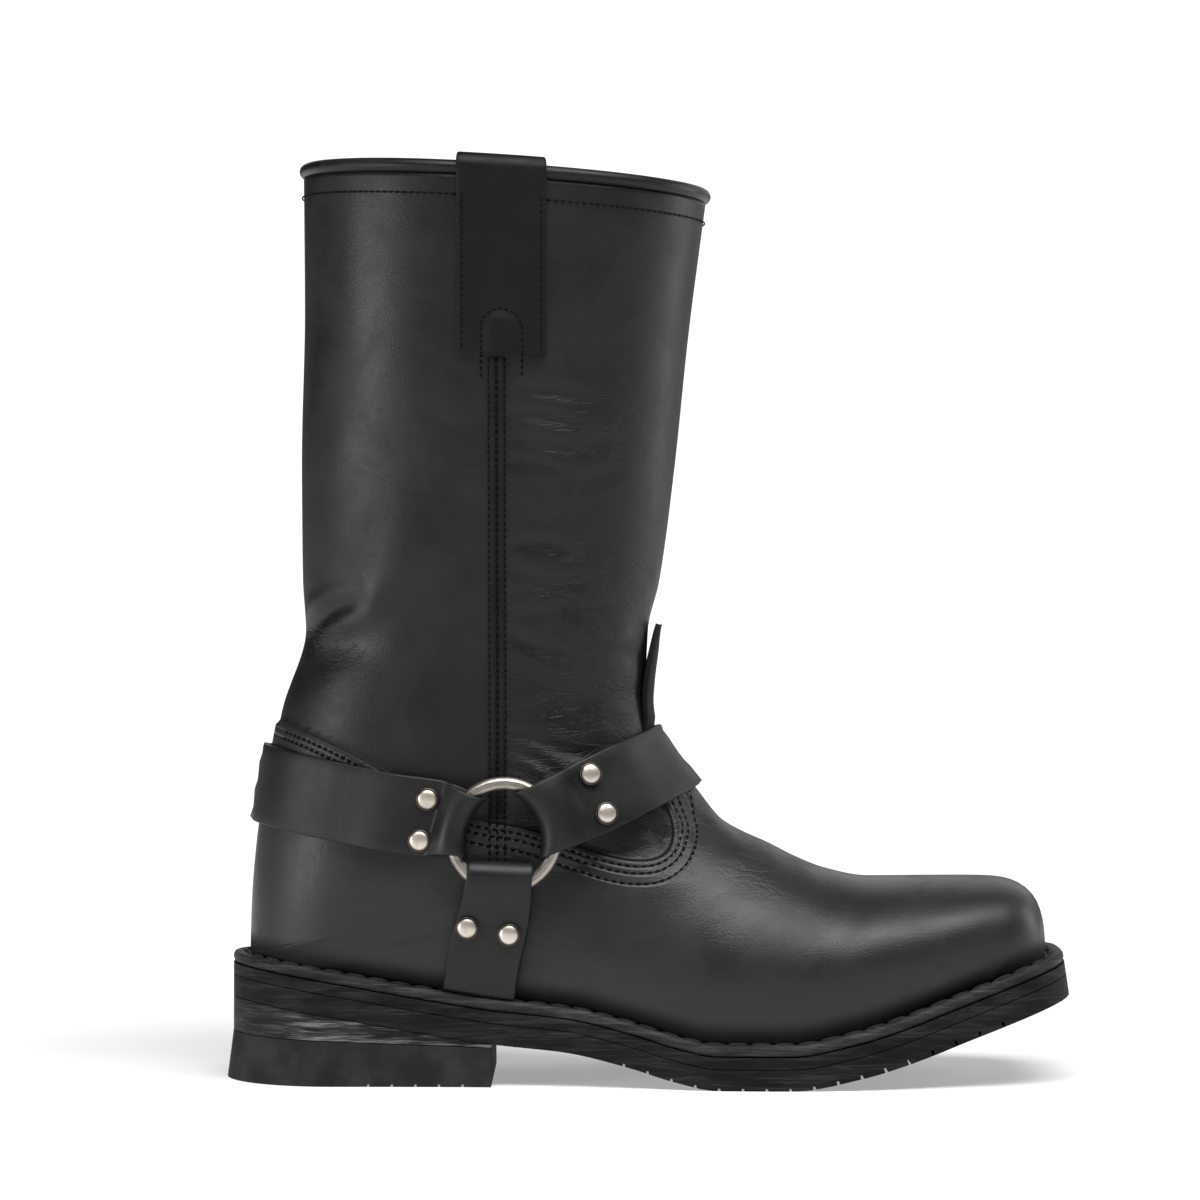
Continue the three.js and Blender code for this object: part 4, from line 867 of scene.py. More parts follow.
class Belt:
    """A line round the leather from the outer ring's centre to the inner one's, as a strap lies."""

    def __init__(self, angle, turn_at):
        self.along = direction(angle)
        self.across = np.array([-self.along[1], self.along[0]])
        self.hub = RING_PLACE + self.along * turn_at
        limit = math.pi - math.atan2(ANKLE_WIDTH / 3, turn_at)
        self.turns = np.linspace(-limit, limit, BELT_SAMPLES + 1)
        line = self.cut(self.turns, np.zeros(BELT_SAMPLES + 1))
        self.lengths = travel(line)
        ahead = (line[:, ::2] - RING_PLACE) @ self.along
        crossings = np.where(ahead[:-1] * ahead[1:] <= 0)[0]
        ends = []
        for i in (crossings[0], crossings[-1]):
            ends.append(mix(self.lengths[i], self.lengths[i + 1], -ahead[i] / (ahead[i + 1] - ahead[i])))
        self.start = ends[0]
        self.length = ends[1] - ends[0]

    def cut(self, turn, v):
        """Points of the leather where the belt's plane, shifted by v, leaves it at a turn round the hub."""
        turn, v = np.broadcast_arrays(np.asarray(turn, float), np.asarray(v, float))
        foot = self.hub + v[..., None] * self.across
        side = np.where(turn < 0, OUTER, INNER)
        low, high = np.zeros(turn.shape), np.full(turn.shape, float(BELT_REACH))

        def seen_at(reach):
            ahead = reach * np.cos(turn)
            return foot[..., 0] + self.along[0] * ahead, foot[..., 1] + self.along[1] * ahead

        for _ in range(HALVINGS):
            at = (low + high) / 2
            within = np.abs(at * np.sin(turn)) < flank(*seen_at(at), side)
            low, high = np.where(within, at, low), np.where(within, high, at)
        x, z = seen_at(low)
        return np.stack([x, low * np.sin(turn), z], -1)

    def surface(self, length, v):
        """Points and outward normals at lengths from the outer ring's centre."""
        turn = np.interp(self.start + length, self.lengths, self.turns)
        points = self.cut(turn, v)
        around = self.cut(turn + 0.04, v) - self.cut(turn - 0.04, v)
        normals = unit(np.cross(around, self.cut(turn, v + 1) - self.cut(turn, v - 1)))
        outward = points - np.array([self.hub[0], 0, self.hub[1]])
        flip = (normals * outward).sum(-1, keepdims=True) < 0
        return points, np.where(flip, -normals, normals)


LOWER_LAYER = VAMP_STEP + SEAT + STRAP_THICKNESS / 2
UPPER_LAYER = LOWER_LAYER + STRAP_THICKNESS + GAP
FOLD_RADIUS = RING_WIRE / 2 + FOLD_GAP + STRAP_THICKNESS / 2
RING_LEVEL = LOWER_LAYER + FOLD_RADIUS
WIRE_RADIUS = (RING_OUTER - RING_WIRE) / 2
# Lengths from the ring's centre over which a strap leaves the ring's flat frame for the leather
RING_BLEND = (15, 46)
ring_frames = {side: on_flank(RING_SET_BACK, RING_HEIGHT, side) for _, side in SIDES}


def in_ring(side, along, d, v, h):
    """Points in a ring's flat frame: ahead along a direction, across it, and above the leather."""
    origin, normal = ring_frames[side]
    ahead = np.array([along[0], 0, along[1]])
    ahead = unit(ahead - normal * (ahead @ normal))
    across = np.array([-along[1], 0, along[0]])
    across = unit(across - normal * (across @ normal))
    return origin + d[..., None] * ahead + v[..., None] * across + h[..., None] * normal


def off_ring(d):
    """Share by which a strap follows the leather, from 0 at its ring to 1."""
    return ease((d - RING_BLEND[0]) / (RING_BLEND[1] - RING_BLEND[0]))[:, None]


# Where each strap folds over its ring: width, angle, and slant of the fold's edge
HEEL_FOLD = (22, 165.5, 0.05)
INSTEP_FOLD = (25, 22.5, 0)
ARCH_FOLD = (23, 264, -0.06)


# Length over which a strap comes down beyond its doubled end
LANDING = 20


def strap_end(width, fold_width, rivets, straight):
    """Stations of a strap's doubled end: length, height, half width, and how far it follows the wire."""
    half = width / 2
    fold = fold_width / 2
    wire_at = math.sqrt(WIRE_RADIUS**2 - fold**2) if straight else WIRE_RADIUS
    end = rivets + RIVET_CAP + 1
    rounding = 0 if straight else 1
    shoulder = WIRE_RADIUS + RING_WIRE / 2
    path = [(end, LOWER_LAYER, half, 0), (rivets, LOWER_LAYER, half, 0)]
    path.append((shoulder + 3, LOWER_LAYER, mix(fold, half, 0.86), 0))
    path.append((WIRE_RADIUS + 1, LOWER_LAYER, mix(fold, half, 0.5), rounding * 0.5))
    for turn in np.linspace(0, math.pi, 15):
        ahead = wire_at - FOLD_RADIUS * math.sin(turn)
        path.append((ahead, RING_LEVEL - FOLD_RADIUS * math.cos(turn), fold, rounding))
    top = RING_LEVEL + FOLD_RADIUS
    landing = rivets - 0.9 * RIVET_CAP / 2
    for share in (0.2, 0.4, 0.6, 0.8, 1):
        ahead = mix(wire_at, landing, share)
        level = mix(top, UPPER_LAYER, float(ease(share**1.3)))
        path.append((ahead, level, mix(fold, half, share), rounding * (1 - share) ** 2))
    for d in (rivets, end):
        path.append((d, UPPER_LAYER, half, 0))
    for share in (0.25, 0.5, 0.75, 1):
        path.append((end + share * LANDING, mix(UPPER_LAYER, LOWER_LAYER, float(ease(share))), half, 0))
    return rounded(np.array(path, float))


def section_loop(spans, thickness, corner):
    """A strap's rounded section: shares of its half width, insets from its edge, lifts from its middle."""
    loop = []
    t = thickness / 2
    quarter = np.linspace(0, math.pi / 2, 4)
    for face in (1, -1):
        loop += [(face * share, 0, face * t) for share in np.linspace(-1, 1, spans + 1)[1:-1]]
        for way, turns in ((face, quarter), (-face, quarter[::-1])):
            for turn in turns:
                lift = t - corner * (1 - math.cos(turn))
                loop.append((face, corner * (1 - math.sin(turn)), way * lift))
    return np.array(loop + loop[:1]).T


def make_strap(name, path, thickness, place, material, node, spans=8, corner=0.7, spacing=3.0):
    """A strap with rounded edges, swept along its stations.

    place sets its points from their length d, place across v, height h and the station's columns at.
    """
    fine = [path[0]]
    for before, after in zip(path[:-1], path[1:]):
        steps = max(1, round(float(np.hypot(*(after - before)[:2])) / spacing))
        fine += [mix(before, after, k / steps) for k in range(1, steps + 1)]
    fine = np.array(fine)
    turn = unit(np.gradient(fine[:, :2], axis=0))
    shares, insets, lifts = section_loop(spans, thickness, corner)
    stations, sides = len(fine) - 1, len(shares) - 1

    def corner_places(around, along):
        i, j = corner_index(along, stations), corner_index(around, sides)
        half = fine[i, 2]
        inner = np.abs(shares[j]) < 1
        v = np.where(inner, shares[j] * (half - corner), np.sign(shares[j]) * (half - insets[j]))
        d = fine[i, 0] - turn[i, 1] * lifts[j]
        h = fine[i, 1] + turn[i, 0] * lifts[j]
        return place(d, v, h, fine[i])

    sheet = closed_up(bent_grid(sides, stations, corner_places))
    sharp_shading(set_piece(name, sheet, [material], [node]), 70)


def wire_shift(rounding, v):
    """How far a fold stands back at its edges to follow the ring's round wire."""
    return rounding * (np.sqrt(np.maximum(WIRE_RADIUS**2 - v * v, 0)) - WIRE_RADIUS)


def make_belt_strap(name, belt, width, fold, rivets, node):
    """A strap from the outer ring round the boot to the inner ring."""
    fold_width, fold_angle, slant = fold
    along = direction(fold_angle)
    near = strap_end(width, fold_width, rivets, False)
    near = np.column_stack([near, np.zeros(len(near))])
    far = near[::-1].copy()
    far[:, 0] = belt.length - far[:, 0]
    far[:, 4] = 1
    free = near[-1, 0]
    middle = [(d, LOWER_LAYER, width / 2, 0, 0) for d in np.linspace(free, belt.length - free, 17)[1:-1]]

    def place(d, v, h, at):
        from_ring = np.where(at[:, 4] > 0.5, belt.length - d, d)
        side = np.where(d > belt.length / 2, INNER, OUTER)
        ahead = from_ring + wire_shift(at[:, 3], v) + slant * v
        outer, inner = (in_ring(one, along, ahead, v, h) for one in (OUTER, INNER))
        flat = np.where((side == OUTER)[:, None], outer, inner)
        points, normals = belt.surface(d, v)
        return mix(flat, points + normals * h[:, None], off_ring(from_ring))

    path = np.concatenate([near, np.array(middle), far])
    make_strap(name, path, STRAP_THICKNESS, place, strap_leather, node)


def make_arch_strap(name, side, node):
    """A strap from a ring down the flank to the welt."""
    along = direction(ARCH_STRAP_ANGLE)
    fold_width, fold_angle, slant = ARCH_FOLD
    fold_along = direction(fold_angle)
    path = strap_end(ARCH_STRAP_WIDTH, fold_width, ARCH_RIVET_REACH, True)
    reach = (RING_HEIGHT - float(feather(RING_SET_BACK))) / -along[1]
    last = path[-1].copy()
    for share in (0.5, 1):
        path = np.concatenate([path, [[mix(last[0], reach + 2, share), *last[1:]]]])

    def place(d, v, h, at):
        flat = in_ring(side, fold_along, d + slant * v, v, h)
        x = RING_PLACE[0] + along[0] * d - along[1] * v
        z = RING_PLACE[1] + along[1] * d + along[0] * v
        level = np.maximum(z, feather(x) + STRAP_THICKNESS)
        points, normals = on_flank(x, level, side)
        seated = points + normals * h[:, None]
        seated[:, 2] += z - level
        found = mix(flat, seated, off_ring(d))
        found[:, 2] = np.maximum(found[:, 2], feather(found[:, 0]) + GAP / 2)
        return found

    make_strap(name, path, STRAP_THICKNESS, place, strap_leather, node)


def set_on(sheet, seat, out):
    """Stands a piece made round Z on a seat in metres, facing outwards."""
    turn = Vector((0, 0, 1)).rotation_difference(Vector(out)).to_matrix().to_4x4()
    bmesh.ops.transform(sheet, matrix=Matrix.Translation(Vector(seat)) @ turn, verts=sheet.verts)


def spin_round(sheet, section, steps):
    """Spins a section round Z into a closed shape."""
    bmesh.ops.spin(sheet, geom=section, cent=(0, 0, 0), axis=(0, 0, 1), angle=2 * math.pi, steps=steps,
                   use_merge=True)
    bmesh.ops.remove_doubles(sheet, verts=sheet.verts, dist=FINE_MERGE)
    bmesh.ops.recalc_face_normals(sheet, faces=sheet.faces)


# Width of the ring's groove as a turn of its wire, and the wire's radius there as a share
GROOVE_TURN = 0.13
GROOVE_DIP = 0.88


def make_ring(name, side, node):
    """A round wire ring with a fine groove along its outer face."""
    origin, normal = ring_frames[side]
    sheet = bmesh.new()
    wire = bmesh.ops.create_circle(sheet, segments=28, radius=RING_WIRE / 2 * MILLIMETRE)["verts"]
    for corner in wire:
        turn = math.atan2(corner.co.y, corner.co.x)
        radius = RING_WIRE / 2 * (GROOVE_DIP if abs(turn - math.pi / 2) < GROOVE_TURN else 1)
        corner.co = Vector((WIRE_RADIUS + radius * math.cos(turn), 0, radius * math.sin(turn))) * MILLIMETRE
    spin_round(sheet, [*wire, *sheet.edges], 112)
    set_on(sheet, placed(origin + normal * RING_LEVEL), normal)
    set_piece(name, sheet, [nickel], [node])


# Rivet cap: columns are radius and height above its seat
CAP_PROFILE = (
    (0, 0),
    (4, 0),
    (4.05, 0.3),
    (3.9, 0.62),
    (3.55, 0.72),
    (3.4, 0.66),
    (3.2, 0.86),
    (2.7, 1.12),
    (2, 1.32),
    (1.1, 1.45),
    (0, 1.5),
)
# Steps round the cap, and the milled rim's inner and outer radius and height
MILLING = 72
MILLED_RIM = (3.3, 3.97)
MILL_HEIGHT = 0.05


def rivet_place(node):
    """Seat and outward direction of a rivet, from its solid's flat base and its dome's top."""
    copy = bmesh.new()
    copy.from_mesh(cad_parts[node].data)
    bmesh.ops.remove_doubles(copy, verts=copy.verts, dist=1e-6)
    poles = sorted(copy.verts, key=lambda corner: len(corner.link_edges))[-2:]
    poles.sort(key=lambda corner: abs(corner.co.y))
    seat, top = poles[0].co.copy(), poles[1].co.copy()
    copy.free()
    return seat, (top - seat).normalized()


def make_rivet(name, node):
    """A low domed cap with a milled rim."""
    seat, out = rivet_place(node)
    sheet = bmesh.new()
    corners = [sheet.verts.new((r * MILLIMETRE, 0, h * MILLIMETRE)) for r, h in CAP_PROFILE]
    edges = [sheet.edges.new(pair) for pair in zip(corners[:-1], corners[1:])]
    spin_round(sheet, corners + edges, MILLING)
    radii = np.array([corner.co.xy.length / MILLIMETRE for corner in sheet.verts])
    for corner, radius in zip(sheet.verts, radii):
        if MILLED_RIM[0] < radius < MILLED_RIM[1]:
            mill = round(math.atan2(corner.co.y, corner.co.x) / (2 * math.pi) * MILLING) % 2
            corner.co.z += (MILL_HEIGHT if mill else -MILL_HEIGHT) * MILLIMETRE
    set_on(sheet, seat, out)
    piece = set_piece(name, sheet, [nickel_cap], [node])
    add_values(piece, "recess", ease((radii - 3) / 0.4) * ease((4.3 - radii) / 0.5))


# Collar
rim_row = {name: column[-1] for name, column in leather_rows.items()}
rim_rise = (rim_row["top"] - rim_row["base"]) / (rim_row["front"] - rim_row["back"])
collar_up = unit(np.array([-rim_rise, 0, 1]))
BINDING_CENTRE = GAP + BINDING_WIDTH / 2
BINDING_SINK = 0.25
PULL_SET = SHAFT_SET + COLLAR_DEPTH / 2


def rim_at(x):
    """Height of the collar's rim."""
    return rim_row["base"] + rim_rise * (x - rim_row["back"])


def make_binding(name, node):
    """The rolled binding on the collar's rim."""
    rim = leather[-1]
    out = leather_normals[-1].copy()
    out[:, 2] = -out[:, 0] * COLLAR_DROP / COLLAR_DEPTH
    out = unit(out)
    centre = rim - out * WALL / 2 + collar_up * (BINDING_CENTRE - GAP - BINDING_SINK)
    radius = BINDING_WIDTH / 2

    def place(around, along):
        i = corner_index(along, ACROSS) % ACROSS
        turn = around * 2 * math.pi
        shape = radius * (1 + 0.05 * np.cos(2 * turn))
        outwards, upwards = (shape * np.cos(turn))[:, None], (shape * np.sin(turn))[:, None]
        return centre[i] + outwards * out[i] + upwards * collar_up

    sheet = closed_up(bent_grid(16, ACROSS, place), cap=False)
    set_piece(name, sheet, [binding_leather], [node])


def pull_place(side):
    """The function that sets the points of one side's pull strap."""
    rim = float(rim_at(PULL_SET))

    def place(d, v, h, at=None):
        level = d + rim_at(PULL_SET + v) - rim
        top = rim_at(PULL_SET + v) - 1
        points, normals = on_flank(PULL_SET + v, np.minimum(level, top), side)
        normals[:, 2] = 0
        points[:, 2] = level
        bump = pull_tab(d - rim, v) * (h > 0)
        return points + unit(normals) * (h + bump)[:, None]

    return place


# Raised tab at the foot of a pull strap, over the seam's end: reach above the strap's foot, and half width
TAB_REACH = 14
TAB_HALF = 5.6


def pull_tab(below_rim, v):
    """How far the tab stands at places of a pull strap, from 0 to 1."""
    up = below_rim + PULL_LENGTH
    arch = np.where(up > TAB_REACH - TAB_HALF, np.hypot(v, up - (TAB_REACH - TAB_HALF)), np.abs(v))
    return ease((TAB_HALF + 0.6 - arch) / 1.6)


def make_pull_strap(name, side, node):
    """A pull strap looped over the collar, with a raised tab at its foot."""
    rim = float(rim_at(PULL_SET))
    half = PULL_WIDTH / 2
    outside = SEAT + PULL_THICKNESS / 2
    inside = -WALL - SEAT - PULL_THICKNESS / 2
    over = BINDING_WIDTH / 2 + GAP + PULL_THICKNESS / 2
    path = [(rim - PULL_LENGTH, outside, half), (rim - 7, outside, half)]
    for turn in np.linspace(0, math.pi, 13):
        path.append((rim + BINDING_CENTRE + over * math.sin(turn), -WALL / 2 + over * math.cos(turn), half))
    path += [(rim - 7, inside, half), (rim - PULL_INSIDE, inside, half)]
    make_strap(name, np.array(path, float), PULL_THICKNESS, pull_place(side), pull_leather,
               node, spans=20, corner=0.5, spacing=1.6)


SEAM_PLACE = RING_SET_BACK - 2.5
SEAM_FOOT = SEAT_HEIGHT + VAMP_EDGE[4][1] * ANKLE_HEIGHT + 2


def make_side_seam(name, side, node):
    """The strip over the side seam, with two ribs between its stitch rows."""
    head = float(rim_at(SEAM_PLACE)) - PULL_LENGTH - GAP - SEAM_THICKNESS
    lift = SEAT + SEAM_THICKNESS / 2
    path = np.array([(d, lift, SEAM_WIDTH / 2) for d in np.linspace(SEAM_FOOT, head, 60)])

    def place(d, v, h, at):
        points, normals = on_flank(SEAM_PLACE + v, d, side)
        rib = 0.35 * np.cos(v / SEAM_WIDTH * 4 * math.pi + math.pi) * (h > SEAT + 0.4)
        return points + normals * (h + rib - 0.2)[:, None]

    make_strap(name, path, SEAM_THICKNESS, place, leather_oiled, node, spans=12, corner=0.4)


TONGUE_LEAN = 2.2


def make_tongue(name, strap, node):
    """The tab on the shaft's front, from the instep strap up, rounded and leaning off at its tip."""
    front = Belt(0, 20)
    edge, facing = strap.surface(np.array([strap.length / 2]), np.array([INSTEP_STRAP_WIDTH / 2]))
    foot = edge[0, 2] + max(0, facing[0, 2]) * (LOWER_LAYER + STRAP_THICKNESS / 2) + 2 * GAP
    tip = ANKLE_TOP + TONGUE_TIP
    path = [(foot - 7, 0.3, TONGUE_WIDTH / 2), (foot - 2, 0.3, TONGUE_WIDTH / 2)]
    for share in np.linspace(0.04, 1, 25):
        half = TONGUE_WIDTH / 2 * math.sqrt(1 - (0.985 * max(0, share - 0.35) / 0.65) ** 2)
        lift = SEAT + TONGUE_THICKNESS / 2 + TONGUE_LEAN * float(ease(share))
        path.append((mix(foot, tip, share), lift, half))
    middle = front.length / 2

    def place(d, v, h, at):
        points, normals = front.surface(middle + v, d - RING_HEIGHT)
        return points + normals * h[:, None]

    make_strap(name, np.array(path), TONGUE_THICKNESS, place, leather_oiled, node, spans=16)


def add_stitches(rows, points, normals, pitch, size):
    """Adds a row of stitches at an even pitch along points: their places, directions and sizes."""
    lengths = travel(points)
    at = pitch * (np.arange(int(lengths[-1] / pitch)) + 0.5)
    ahead = unit(sampled(at + pitch / 3, lengths, points) - sampled(at - pitch / 3, lengths, points))
    places = placed(sampled(at, lengths, points))
    rows.append((places, ahead, unit(sampled(at, lengths, normals)), np.tile(size, (len(at), 1))))


def stitch_nodes(material):
    """A node tree that sets a real bead on each point, turned and sized by the point's attributes."""
    tree = bpy.data.node_groups.new("stitches", "GeometryNodeTree")
    tree.interface.new_socket("Geometry", in_out="INPUT", socket_type="NodeSocketGeometry")
    tree.interface.new_socket("Geometry", in_out="OUTPUT", socket_type="NodeSocketGeometry")

    def made(kind, links=(), **settings):
        return set_node(tree, kind, links, **settings).outputs[0]

    def values(name):
        return made("GeometryNodeInputNamedAttribute", {"Name": name}, data_type="FLOAT_VECTOR")

    bead = made("GeometryNodeMeshUVSphere", {"Segments": 6, "Rings": 4, "Radius": MILLIMETRE / 2})
    turn = made("FunctionNodeAxesToRotation", {0: values("ahead"), 1: values("up")},
                primary_axis="X", secondary_axis="Z")
    beads = made("GeometryNodeInstanceOnPoints", {
        "Points": made("NodeGroupInput"), "Instance": bead, "Rotation": turn, "Scale": values("size")})
    real = made("GeometryNodeRealizeInstances", {0: beads})
    smooth = made("GeometryNodeSetShadeSmooth", {0: real})
    sewn = made("GeometryNodeSetMaterial", {0: smooth, "Material": material})
    set_node(tree, "NodeGroupOutput", {0: sewn})
    return tree


def set_stitching(name, rows, material):
    """Makes the stitches of all rows as one piece of thread."""
    places, ahead, up, size = (np.concatenate(column) for column in zip(*rows))
    sheet = bmesh.new()
    for place in places:
        sheet.verts.new(place)
    piece = set_piece(name, sheet, [material])
    for label, vectors in (("ahead", ahead), ("up", up), ("size", size)):
        attribute = piece.data.attributes.new(label, "FLOAT_VECTOR", "POINT")
        attribute.data.foreach_set("vector", vectors.astype(np.float32).ravel())
    beads = piece.modifiers.new("beads", "NODES")
    beads.node_group = stitch_nodes(material)
    make_real(piece)


def side_row(line, side, lift):
    """Points and normals of a stitch row along a side view line."""
    lengths = travel(line)
    even = np.linspace(0, lengths[-1], max(12, int(lengths[-1] / 1.5)))
    x, z = sampled(even, lengths, line).T
    points, normals = on_flank(x, z, side)
    raised = lift - crease_depth(x, z, points[:, 1])
    return points + normals * raised[:, None], normals


def beside_line(line, offset):
    """A side view line shifted to its right by an offset."""
    step = unit(np.gradient(line, axis=0))
    return line + offset * np.stack([step[:, 1], -step[:, 0]], -1)


# Materials
def new_group(name, inputs, outputs):
    """An empty shader node group with named sockets, each as (name, kind, value)."""
    tree = bpy.data.node_groups.new(name, "ShaderNodeTree")
    for label, kind, value in inputs:
        socket = tree.interface.new_socket(label, in_out="INPUT", socket_type="NodeSocket" + kind)
        if value is not None:
            socket.default_value = value
    for label, kind in outputs:
        tree.interface.new_socket(label, in_out="OUTPUT", socket_type="NodeSocket" + kind)
    return tree, tree.nodes.new("NodeGroupInput"), tree.nodes.new("NodeGroupOutput")


def set_node(tree, kind, links=(), **settings):
    """A node with its settings and input values or links, given as pairs of socket and value."""
    node = tree.nodes.new(kind)
    for name, value in settings.items():
        setattr(node, name, value)
    for socket, value in dict(links).items():
        if isinstance(value, bpy.types.NodeSocket):
            tree.links.new(value, node.inputs[socket])
        else:
            node.inputs[socket].default_value = value
    return node


def add_node(tree, kind, links=(), **settings):
    """A shader node."""
    return set_node(tree, "ShaderNode" + kind, links, **settings)


def attribute_value(tree, name):
    """A value that the piece carries at its corners."""
    return add_node(tree, "Attribute", attribute_name=name).outputs["Fac"]


def maths(tree, operation, *values):
    """The value of a Math node."""
    return add_node(tree, "Math", dict(enumerate(values)), operation=operation).outputs[0]


def times(tree, first, second):
    """The product of two values."""
    return maths(tree, "MULTIPLY", first, second)


def plus(tree, first, second):
    """The sum of two values."""
    return maths(tree, "ADD", first, second)


def away(tree, value, middle):
    """How far a value lies from a middle one."""
    return maths(tree, "ABSOLUTE", maths(tree, "SUBTRACT", value, middle))


def remap(tree, value, low, high, to_low=0.0, to_high=1.0):
    """A value eased from one range to another."""
    node = add_node(tree, "MapRange", interpolation_type="SMOOTHSTEP", links={
        "Value": value, "From Min": low, "From Max": high, "To Min": to_low, "To Max": to_high})
    return node.outputs["Result"]


def blended(tree, share, first, second):
    """A colour between two colours."""
    first, second = (colour if isinstance(colour, bpy.types.NodeSocket) else (*colour, 1)
                     for colour in (first, second))
    return add_node(tree, "Mix", {0: share, 6: first, 7: second}, data_type="RGBA").outputs[2]


def stretched(tree, vector, scale):
    """Coordinates scaled by a different amount each way."""
    return add_node(tree, "Mapping", {"Vector": vector, "Scale": scale}).outputs["Vector"]


def scaled(tree, vector, scale):
    """A vector scaled alike each way."""
    return add_node(tree, "VectorMath", {0: vector, "Scale": scale}, operation="SCALE").outputs[0]


def noise(tree, vector, scale, detail=2.0, rough=0.5, warp=0.0):
    """A noise value from 0 to 1."""
    values = {"Vector": vector, "Scale": scale, "Detail": detail, "Roughness": rough, "Distortion": warp}
    return add_node(tree, "TexNoise", values).outputs["Fac"]


def hide_grain_group():
    """Pores and pebbles of a hide, its creases where it bends, and its mottled tone."""
    tree, start, end = new_group(
        "hide_grain",
        [("Vector", "Vector", None), ("Scale", "Float", 1.0), ("Wrinkle", "Float", 0.0),
         ("Pebble", "Float", 0.5)],
        [("Height", "Float"), ("Tone", "Float"), ("Scuff", "Float")])
    place = start.outputs["Vector"]
    near = scaled(tree, place, start.outputs["Scale"])
    bend = noise(tree, near, 260, 2)
    bent = scaled(tree, add_node(tree, "CombineXYZ", {0: bend, 1: bend, 2: bend}).outputs[0], 0.0016)
    shifted = add_node(tree, "VectorMath", {0: near, 1: bent}, operation="ADD").outputs[0]
    cells = add_node(tree, "TexVoronoi", {"Vector": shifted, "Scale": 780.0, "Randomness": 0.9},
                     feature="DISTANCE_TO_EDGE").outputs["Distance"]
    pebble = times(tree, remap(tree, cells, 0.0, 0.22), start.outputs["Pebble"])
    pores = noise(tree, near, 2600, 2)
    fine = plus(tree, times(tree, pebble, 0.45), times(tree, pores, 0.25))
    folds = noise(tree, stretched(tree, near, (1.0, 1.0, 3.6)), 62, 3, 0.55, 0.9)
    lines = remap(tree, away(tree, folds, 0.5), 0.0, 0.07)
    small = noise(tree, stretched(tree, near, (1.0, 1.0, 2.2)), 210, 3, 0.6, 1.4)
    small_ridge = remap(tree, away(tree, small, 0.5), 0.0, 0.09)
    creased = plus(tree, times(tree, lines, 1.1), times(tree, small_ridge, 0.25))
    deep = times(tree, creased, start.outputs["Wrinkle"])
    mottle = noise(tree, place, 34, 4, 0.6, 0.6)
    rubbed = noise(tree, place, 120, 5, 0.65, 0.4)
    tree.links.new(plus(tree, fine, deep), end.inputs["Height"])
    tree.links.new(remap(tree, mottle, 0.3, 0.72), end.inputs["Tone"])
    tree.links.new(remap(tree, rubbed, 0.56, 0.8), end.inputs["Scuff"])
    return tree


hide_grain = hide_grain_group()


def grey(value):
    """A neutral colour."""
    return (value, value, value)


def new_material(name):
    """A material with its node tree, Principled shader and Object coordinates."""
    material = bpy.data.materials.new(name)
    material.use_nodes = True
    tree = material.node_tree
    shader = tree.nodes["Principled BSDF"]
    place = add_node(tree, "TexCoord").outputs["Object"]
    return material, tree, shader, place


def set_bump(tree, shader, height, distance, strength=1.0):
    """Turns a height into a shader's bump, with its distance in millimetres."""
    bump = add_node(tree, "Bump", {"Height": height, "Distance": distance * MILLIMETRE, "Strength": strength})
    tree.links.new(bump.outputs["Normal"], shader.inputs["Normal"])


# Distances of the stitch lines from the vamp's edge
VAMP_LINES = (2.2, 4.6, 8.2)


def make_leather(name, dark, pale, rough, gloss, pebble, scale=1.0, depth=0.12, wrinkled=False, vamp_tone_and_sheen=None):
    """Oiled leather: a dark hide with paler rubbed tone, pores, and creases where the piece says. When
    wrinkled, it also has a paler vamp that is partly painted sheen, and painted shade along the vamp's edge
    and in a band above the welt.
    """
    material, tree, shader, place = new_material(name)
    grain = tree.nodes.new("ShaderNodeGroup")
    grain.node_tree = hide_grain
    tree.links.new(place, grain.inputs["Vector"])
    grain.inputs["Scale"].default_value = scale
    grain.inputs["Pebble"].default_value = pebble
    height, tone, scuff = (grain.outputs[label] for label in ("Height", "Tone", "Scuff"))
    piece_rough = rough
    colour = blended(tree, times(tree, tone, 0.75), dark, pale)
    if wrinkled:
        tree.links.new(attribute_value(tree, "wrinkle"), grain.inputs["Wrinkle"])
        vamp = attribute_value(tree, "vamp")
        # Paler, cooler base on the vamp: partly a greyer hide, partly a painted sheen from the light above.
        on_vamp = remap(tree, vamp, -0.4, 0.4)
        colour = blended(tree, times(tree, on_vamp, 0.75), colour, vamp_tone_and_sheen)
        # Painted shade: a near-black line just outside the vamp's edge, at the foot of its step, which is
        # also rougher there.
        clear_of_edge_shade = remap(tree, away(tree, vamp, -0.3), 0.15, 0.7)
        colour = blended(tree, clear_of_edge_shade, grey(0.0005), colour)
        height = plus(tree, height, times(tree, remap(tree, vamp, -0.35, 0.25), 7.0))
        for line in VAMP_LINES:
            groove = remap(tree, away(tree, vamp, line), 0.1, 0.85)
            height = plus(tree, height, times(tree, groove, 1.6))
        # Painted shade and dirt: the upper goes near black from the welt up to 9 mm, where the welt shades it
        # and dirt gathers, and it is also rougher there.
        above = remap(tree, attribute_value(tree, "above_welt"), 1.5, 9.0)
        colour = blended(tree, above, grey(0.001), colour)
        dull = maths(tree, "MULTIPLY_ADD", times(tree, clear_of_edge_shade, above), -0.4, rough + 0.4)
        piece_rough = maths(tree, "MULTIPLY_ADD", on_vamp, -0.05, dull)
    colour = blended(tree, times(tree, scuff, 0.35), colour, pale)
    tree.links.new(colour, shader.inputs["Base Color"])
    worn = maths(tree, "MULTIPLY_ADD", tone, 0.14, piece_rough)
    tree.links.new(maths(tree, "MULTIPLY_ADD", scuff, 0.1, worn), shader.inputs["Roughness"])
    shader.inputs["Specular IOR Level"].default_value = gloss
    set_bump(tree, shader, height, depth)
    return material


